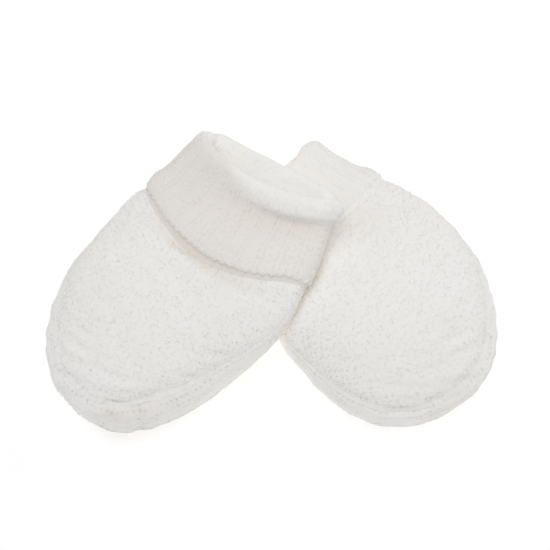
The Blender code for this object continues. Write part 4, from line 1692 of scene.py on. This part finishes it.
@dataclass
class HandPart:
    """Back and palm of one mitten, with their yarn, their seam and their loose fibres.

    The grids are steps of u and v.  rim_strips are the strips that carry the palm's sheet up its side,
    and rim_rows the side's rows of stitches.  The sheets lie at sheet_height over the middle of the
    wall.  The seam's yarn is wound round a line at seam_height; a stitch takes seam_pitch of it,
    reaches seam_reach to each side and stands seam_lift off it.
    """

    form: MittenForm
    back: PanelPatch
    palm: PanelPatch
    rim: RimPatch
    back_knit: Knit = Knit(Fabric.GARTER, stitches=32, seed=11)
    palm_knit: Knit = Knit(Fabric.GARTER, stitches=32, steps=6, seed=12)
    rim_knit: Knit = Knit(Fabric.GARTER, stitches=96, seed=13)
    rim_rows: int = 4
    back_grid: tuple[int, int] = (48, 120)
    palm_grid: tuple[int, int] = (48, 44)
    rim_strips: int = 16
    back_skin_grid: tuple[int, int] = (40, 44)
    rim_skin_grid: tuple[int, int] = (130, 5)
    back_seed: int = 21
    rim_seed: int = 22
    sheet_thickness: float = 0.6
    sheet_height: float = 0.40
    seam_height: float = -0.14
    seam_pitch: float = 2.1
    seam_reach: float = 2.0
    seam_lift: float = 0.12

    def build_back(self, shop: Workshop) -> None:
        """Sheet, yarn and fibres of the back of the hand."""
        name = f"{self.form.name}_back"
        flip = self.form.side > 0
        points = sample(self.back, self.back_grid, self.sheet_height)
        mesh = grid_mesh(f"{name}_sheet", points, False, flip)
        # painted shade of the back
        tone = self.back.tone(*shares(self.back_grid)).ravel()
        sheet = cloth_sheet(mesh, tone, shop.core, self.sheet_thickness)
        run = YarnRun()
        rows_of_yarn(run, self.back, self.back_knit, self.back.rows(), 0.0)
        yarn = shop.spin(f"{name}_knit", run, self.back_knit)
        skin = sample(self.back, self.back_skin_grid, FIBRE_HEIGHT)
        skin_mesh = grid_mesh(f"{name}_fibres", skin, False, flip)
        down = shop.scatter(f"{name}_fibres", skin_mesh, HAND_FIBRES, self.back_seed)
        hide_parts(name)
        report(sheet, yarn, down)

    def build_palm(self, shop: Workshop) -> None:
        """Sheet, yarn and fibres of the palm and of its side, and the seam to the back."""
        name = f"{self.form.name}_palm"
        flip = self.form.side > 0
        sheet = self.palm_sheet(f"{name}_sheet", shop.core, not flip)
        run = YarnRun()
        floor = self.palm_knit.yarn_radius
        rows_of_yarn(run, self.palm, self.palm_knit, self.palm.rows(), floor)
        rim_rows = (np.arange(self.rim_rows) + 0.5) / self.rim_rows
        rows_of_yarn(run, self.rim, self.rim_knit, rim_rows, floor)
        self.sew(run)
        yarn = shop.spin(f"{name}_knit", run, self.palm_knit)
        skin = sample(self.rim, self.rim_skin_grid, FIBRE_HEIGHT)
        skin_mesh = grid_mesh(f"{name}_fibres", skin, False, flip)
        down = shop.scatter(f"{name}_fibres", skin_mesh, HAND_FIBRES, self.rim_seed)
        mesh = grid_mesh(f"{name}_seam", self.seam_fill(), False, flip)
        seam = cloth_sheet(mesh, np.zeros(len(mesh.vertices)), shop.core, FILL_THICKNESS)
        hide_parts(name)
        report(sheet, yarn, down, seam)

    def palm_sheet(self, name: str, material: bpy.types.Material, flip: bool) -> bpy.types.Object:
        """Sheet of the palm and of its side, in one.

        Args:
            name: the sheet's name.
            material: its material.
            flip: whether its faces are turned over.

        Returns:
            The sheet's object.
        """
        columns, rows = self.palm_grid
        side_share = TIP_ARC_START * np.linspace(0.0, 1.0, rows + 1)
        tip_share = np.linspace(TIP_ARC_START, 1.0 - TIP_ARC_START, columns + 1)[1:-1]
        share = np.concatenate([side_share, tip_share, 1.0 - side_share[::-1]])
        strips = (np.arange(self.rim_strips) + 1.0) / self.rim_strips
        round_edge, up = np.meshgrid(share, strips)
        base = sample(self.palm, self.palm_grid, self.sheet_height)
        sides = hold_up(self.rim.place(round_edge, up, self.sheet_height), SHEET_FLOOR)
        mesh = dish_mesh(name, base, sides, flip)
        # painted shade of the palm and of its side
        base_painted_shade = self.palm.tone(*shares(self.palm_grid)).ravel()
        tone = np.concatenate([base_painted_shade, self.rim.tone(round_edge, up).ravel()])
        return cloth_sheet(mesh, tone, material, self.sheet_thickness)

    def seam_fill(self) -> Array:
        """Grid of the wool that fills the groove between back and palm."""
        share = np.linspace(SEAM_END, 1.0 - SEAM_END, OUTLINE_STEPS)
        below = self.rim.place(share, np.full_like(share, SEAM_BEFORE))
        top = self.rim.place(share, np.ones_like(share))
        ahead = unit(top - below)
        out = self.rim.normal(share, np.full_like(share, SEAM_FACE))
        start = nearest((self.rim,), SEAM_SINK, top - ahead * SEAM_FILL)
        end = nearest((self.back,), SEAM_SINK, top + ahead * SEAM_FILL)
        return bridge(start, end, out * SEAM_HOLLOW)

    def sew(self, run: YarnRun) -> None:
        """Overcast the seam between back and palm."""
        share = np.linspace(SEAM_END, 1.0 - SEAM_END, OUTLINE_STEPS)
        line = self.rim.place(share, np.ones_like(share), self.seam_height)
        out = self.rim.normal(share, np.full_like(share, SEAM_FACE))
        overcast(run, line, out, self.seam_pitch, self.seam_reach, self.seam_lift, False)


@dataclass
class CuffPart:
    """The ribbed cuff of one mitten: inner leg, fold and turned-back band.

    flat is the cloth of the cuff as it is knitted, round it and over it, in metres; nothing here reads
    it.  courses are its rounds of stitches, and the grids are steps of u and v.  A loop that finishes the
    free edge takes edge_pitch of it, reaches edge_reach to each side and stands edge_lift off its own line.
    """

    form: MittenForm
    patch: CuffPatch
    flat: tuple[float, float]
    knit: Knit = Knit(
        Fabric.RIB,
        stitches=48,
        steps=8,
        bulge=0.18,
        loop=0.72,
        rib_relief=0.05,
        yarn_radius=0.55,
        seed=31,
    )
    courses: int = 24
    grid: tuple[int, int] = (72, 92)
    skin_grid: tuple[int, int] = (72, 46)
    fibre_seed: int = 23
    edge_seed: int = 24
    sheet_thickness: float = 0.6
    sheet_height: float = 0.10
    edge_pitch: float = 2.7
    edge_reach: float = 0.55
    edge_lift: float = 0.22

    def build(self, shop: Workshop) -> None:
        """Sheet, yarn and fibres of the cuff, and the wool in the crease under its free edge."""
        name = f"{self.form.name}_cuff"
        flip = self.form.side < 0
        points = sample(self.patch, self.grid, self.sheet_height, True)
        mesh = grid_mesh(f"{name}_sheet", points, True, flip)
        tone = self.patch.tone(*shares(self.grid, True)).ravel()
        sheet = cloth_sheet(mesh, tone, shop.cuff_core, self.sheet_thickness)
        run = YarnRun()
        rows = (np.arange(self.courses) + 0.5) / self.courses
        rings_of_yarn(run, self.patch, self.knit, rows, self.knit.yarn_radius)
        self.bind_off(run)
        yarn = shop.spin(f"{name}_knit", run, self.knit)
        skin = sample(self.patch, self.skin_grid, FIBRE_HEIGHT, True)
        skin_mesh = grid_mesh(f"{name}_fibres", skin, True, flip)
        down = shop.scatter(f"{name}_fibres", skin_mesh, CUFF_FIBRES, self.fibre_seed)
        wool = self.fill()
        mesh = grid_mesh(f"{name}_edge", wool, True, flip)
        # painted shadow on the wool in the crease, fading towards the hand
        fade = np.linspace(FILL_PAINTED_SHADE, FILL_PAINTED_SHADE_END, FILL_ROWS)
        tone = self.form.painted_shade_cream * np.repeat(fade, FILL_STEPS)
        edge = cloth_sheet(mesh, tone, shop.cuff_core, FILL_THICKNESS)
        upper = np.roll(wool, FILL_STEPS // 4, axis=1)
        upper = upper[:, upper[..., 2].min(axis=0) > FIBRE_LENGTH * FIBRE_CLEAR]
        skin_mesh = grid_mesh(f"{name}_edge_fibres", upper, False, flip)
        fuzz = shop.scatter(f"{name}_edge_fibres", skin_mesh, EDGE_FIBRES, self.edge_seed)
        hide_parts(name)
        report(sheet, yarn, down, edge, fuzz)

    def fill(self) -> Array:
        """Grid of the loose wool that lies in the crease between the free edge and the hand."""
        share = np.arange(FILL_STEPS) / FILL_STEPS
        before = self.patch.place(share, np.full_like(share, EDGE_BEFORE))
        edge = self.patch.place(share, np.ones_like(share))
        ahead = unit(edge - before)
        out = self.patch.normal(share, np.full_like(share, EDGE_FACE))
        start = edge + ahead * FILL_FROM + out * self.form.fill_height
        patches = PanelPatch(self.form, True), PanelPatch(self.form, False), RimPatch(self.form)
        end = nearest(patches, FILL_SINK, edge + ahead * FILL_TO - out)
        end = (np.roll(end, 1, axis=0) + end + np.roll(end, -1, axis=0)) / 3.0
        return bridge(start, end, out * FILL_HOLLOW)

    def bind_off(self, run: YarnRun) -> None:
        """Finish the cuff's free edge with a row of slanting loops."""
        share = np.linspace(0.0, 1.0, OUTLINE_STEPS)
        line = self.patch.place(share, np.full_like(share, BIND_AT), BIND_HEIGHT)
        line = hold_up(line, self.knit.yarn_radius + BIND_CLEAR)
        out = self.patch.normal(share, np.full_like(share, EDGE_FACE))
        # the loops carry the band's painted shade
        tone = self.form.painted_shade_cream
        overcast(run, line, out, self.edge_pitch, self.edge_reach, self.edge_lift, True, tone)


def report(*pieces: bpy.types.Object) -> None:
    """Log the name of each piece and its triangles, before its modifiers add theirs."""
    for piece in pieces:
        triangles = sum(len(polygon.vertices) - 2 for polygon in piece.data.polygons)
        LOG.info("%s: %d triangles before modifiers", piece.name, triangles)


# ---- stage -------------------------------------------------------------------------------------
@dataclass(frozen=True)
class Lamp:
    """A square light that looks at the mittens: place and side in millimetres, and power in watts."""

    name: str
    place: tuple[float, float, float]
    size: float
    power: float

    def build(self) -> None:
        """Make the light."""
        data = bpy.data.lights.new(self.name, "AREA")
        data.shape, data.size, data.energy = "SQUARE", self.size * MM, self.power
        lamp = add_object(self.name, data)
        lamp.location = Vector(self.place) * MM
        lamp.rotation_mode = "QUATERNION"
        lamp.rotation_quaternion = (-lamp.location).to_track_quat("-Z", "Y")


@dataclass(frozen=True)
class Studio:
    """White floor, soft white light all round, a broad light overhead and a weak one from behind."""

    lamps: tuple[Lamp, ...] = (
        Lamp("overhead", (0.0, 0.0, 900.0), 700.0, 3.1),
        Lamp("behind", (406.0, 406.0, 305.0), 300.0, 0.32),
    )
    camera_elevation: float = 70.0
    camera_distance: float = 591.4
    camera_target: tuple[float, float, float] = (1.5, 0.7, 12.0)
    lens: float = 120.0
    world_strength: float = 0.485
    floor_size: float = 6000.0
    floor_glow: float = 0.22
    bounces: int = 24

    def build(self) -> None:
        """Make the floor, the lights and the camera."""
        scene = bpy.context.scene
        scene.view_settings.view_transform = "Standard"
        scene.cycles.max_bounces = scene.cycles.diffuse_bounces = self.bounces
        self.make_floor()
        self.make_world()
        for lamp in self.lamps:
            lamp.build()
        self.make_camera()

    def make_floor(self) -> None:
        """A wide plain sheet that the mittens lie on."""
        half = self.floor_size / 2.0 * MM
        mesh = bpy.data.meshes.new("floor")
        corners = [(-half, -half, 0.0), (half, -half, 0.0), (half, half, 0.0), (-half, half, 0.0)]
        mesh.from_pydata(corners, [], [(0, 1, 2, 3)])
        material = bpy.data.materials.new("white floor")
        material.use_nodes = True
        shader = material.node_tree.nodes["Principled BSDF"]
        shader.inputs["Base Color"].default_value = (0.95, 0.95, 0.95, 1.0)
        shader.inputs["Roughness"].default_value = 1.0
        shader.inputs["Specular IOR Level"].default_value = 0.0
        shader.inputs["Emission Color"].default_value = (1.0, 1.0, 1.0, 1.0)
        shader.inputs["Emission Strength"].default_value = self.floor_glow
        mesh.materials.append(material)
        add_object("floor", mesh)

    def make_world(self) -> None:
        """Even white light from all round."""
        world = bpy.data.worlds.new("soft light")
        world.use_nodes = True
        shade = world.node_tree.nodes["Background"]
        shade.inputs["Color"].default_value = (1.0, 1.0, 1.0, 1.0)
        shade.inputs["Strength"].default_value = self.world_strength
        bpy.context.scene.world = world

    def make_camera(self) -> None:
        """The camera, looking steeply down at the pair."""
        data = bpy.data.cameras.new("camera")
        data.lens = self.lens
        data.clip_start, data.clip_end = 0.01, 20.0
        camera = add_object("camera", data)
        lift = math.radians(self.camera_elevation)
        back = Vector((0.0, -math.cos(lift), math.sin(lift)))
        camera.location = (Vector(self.camera_target) + back * self.camera_distance) * MM
        camera.rotation_mode = "QUATERNION"
        camera.rotation_quaternion = (-back).to_track_quat("-Z", "Y")
        bpy.context.scene.camera = camera


def main() -> None:
    """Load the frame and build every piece."""
    logging.basicConfig(level=logging.INFO, format="%(name)s %(message)s")
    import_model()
    shop = Workshop.open()
    for form in (RIGHT, LEFT):
        hand = HandPart(form, PanelPatch(form, True), PanelPatch(form, False), RimPatch(form))
        hand.build_palm(shop)
        hand.build_back(shop)
        CuffPart(form, CuffPatch(form), CUFF_FLAT[form.name]).build(shop)
    Studio().build()


if __name__ == "__main__":
    main()
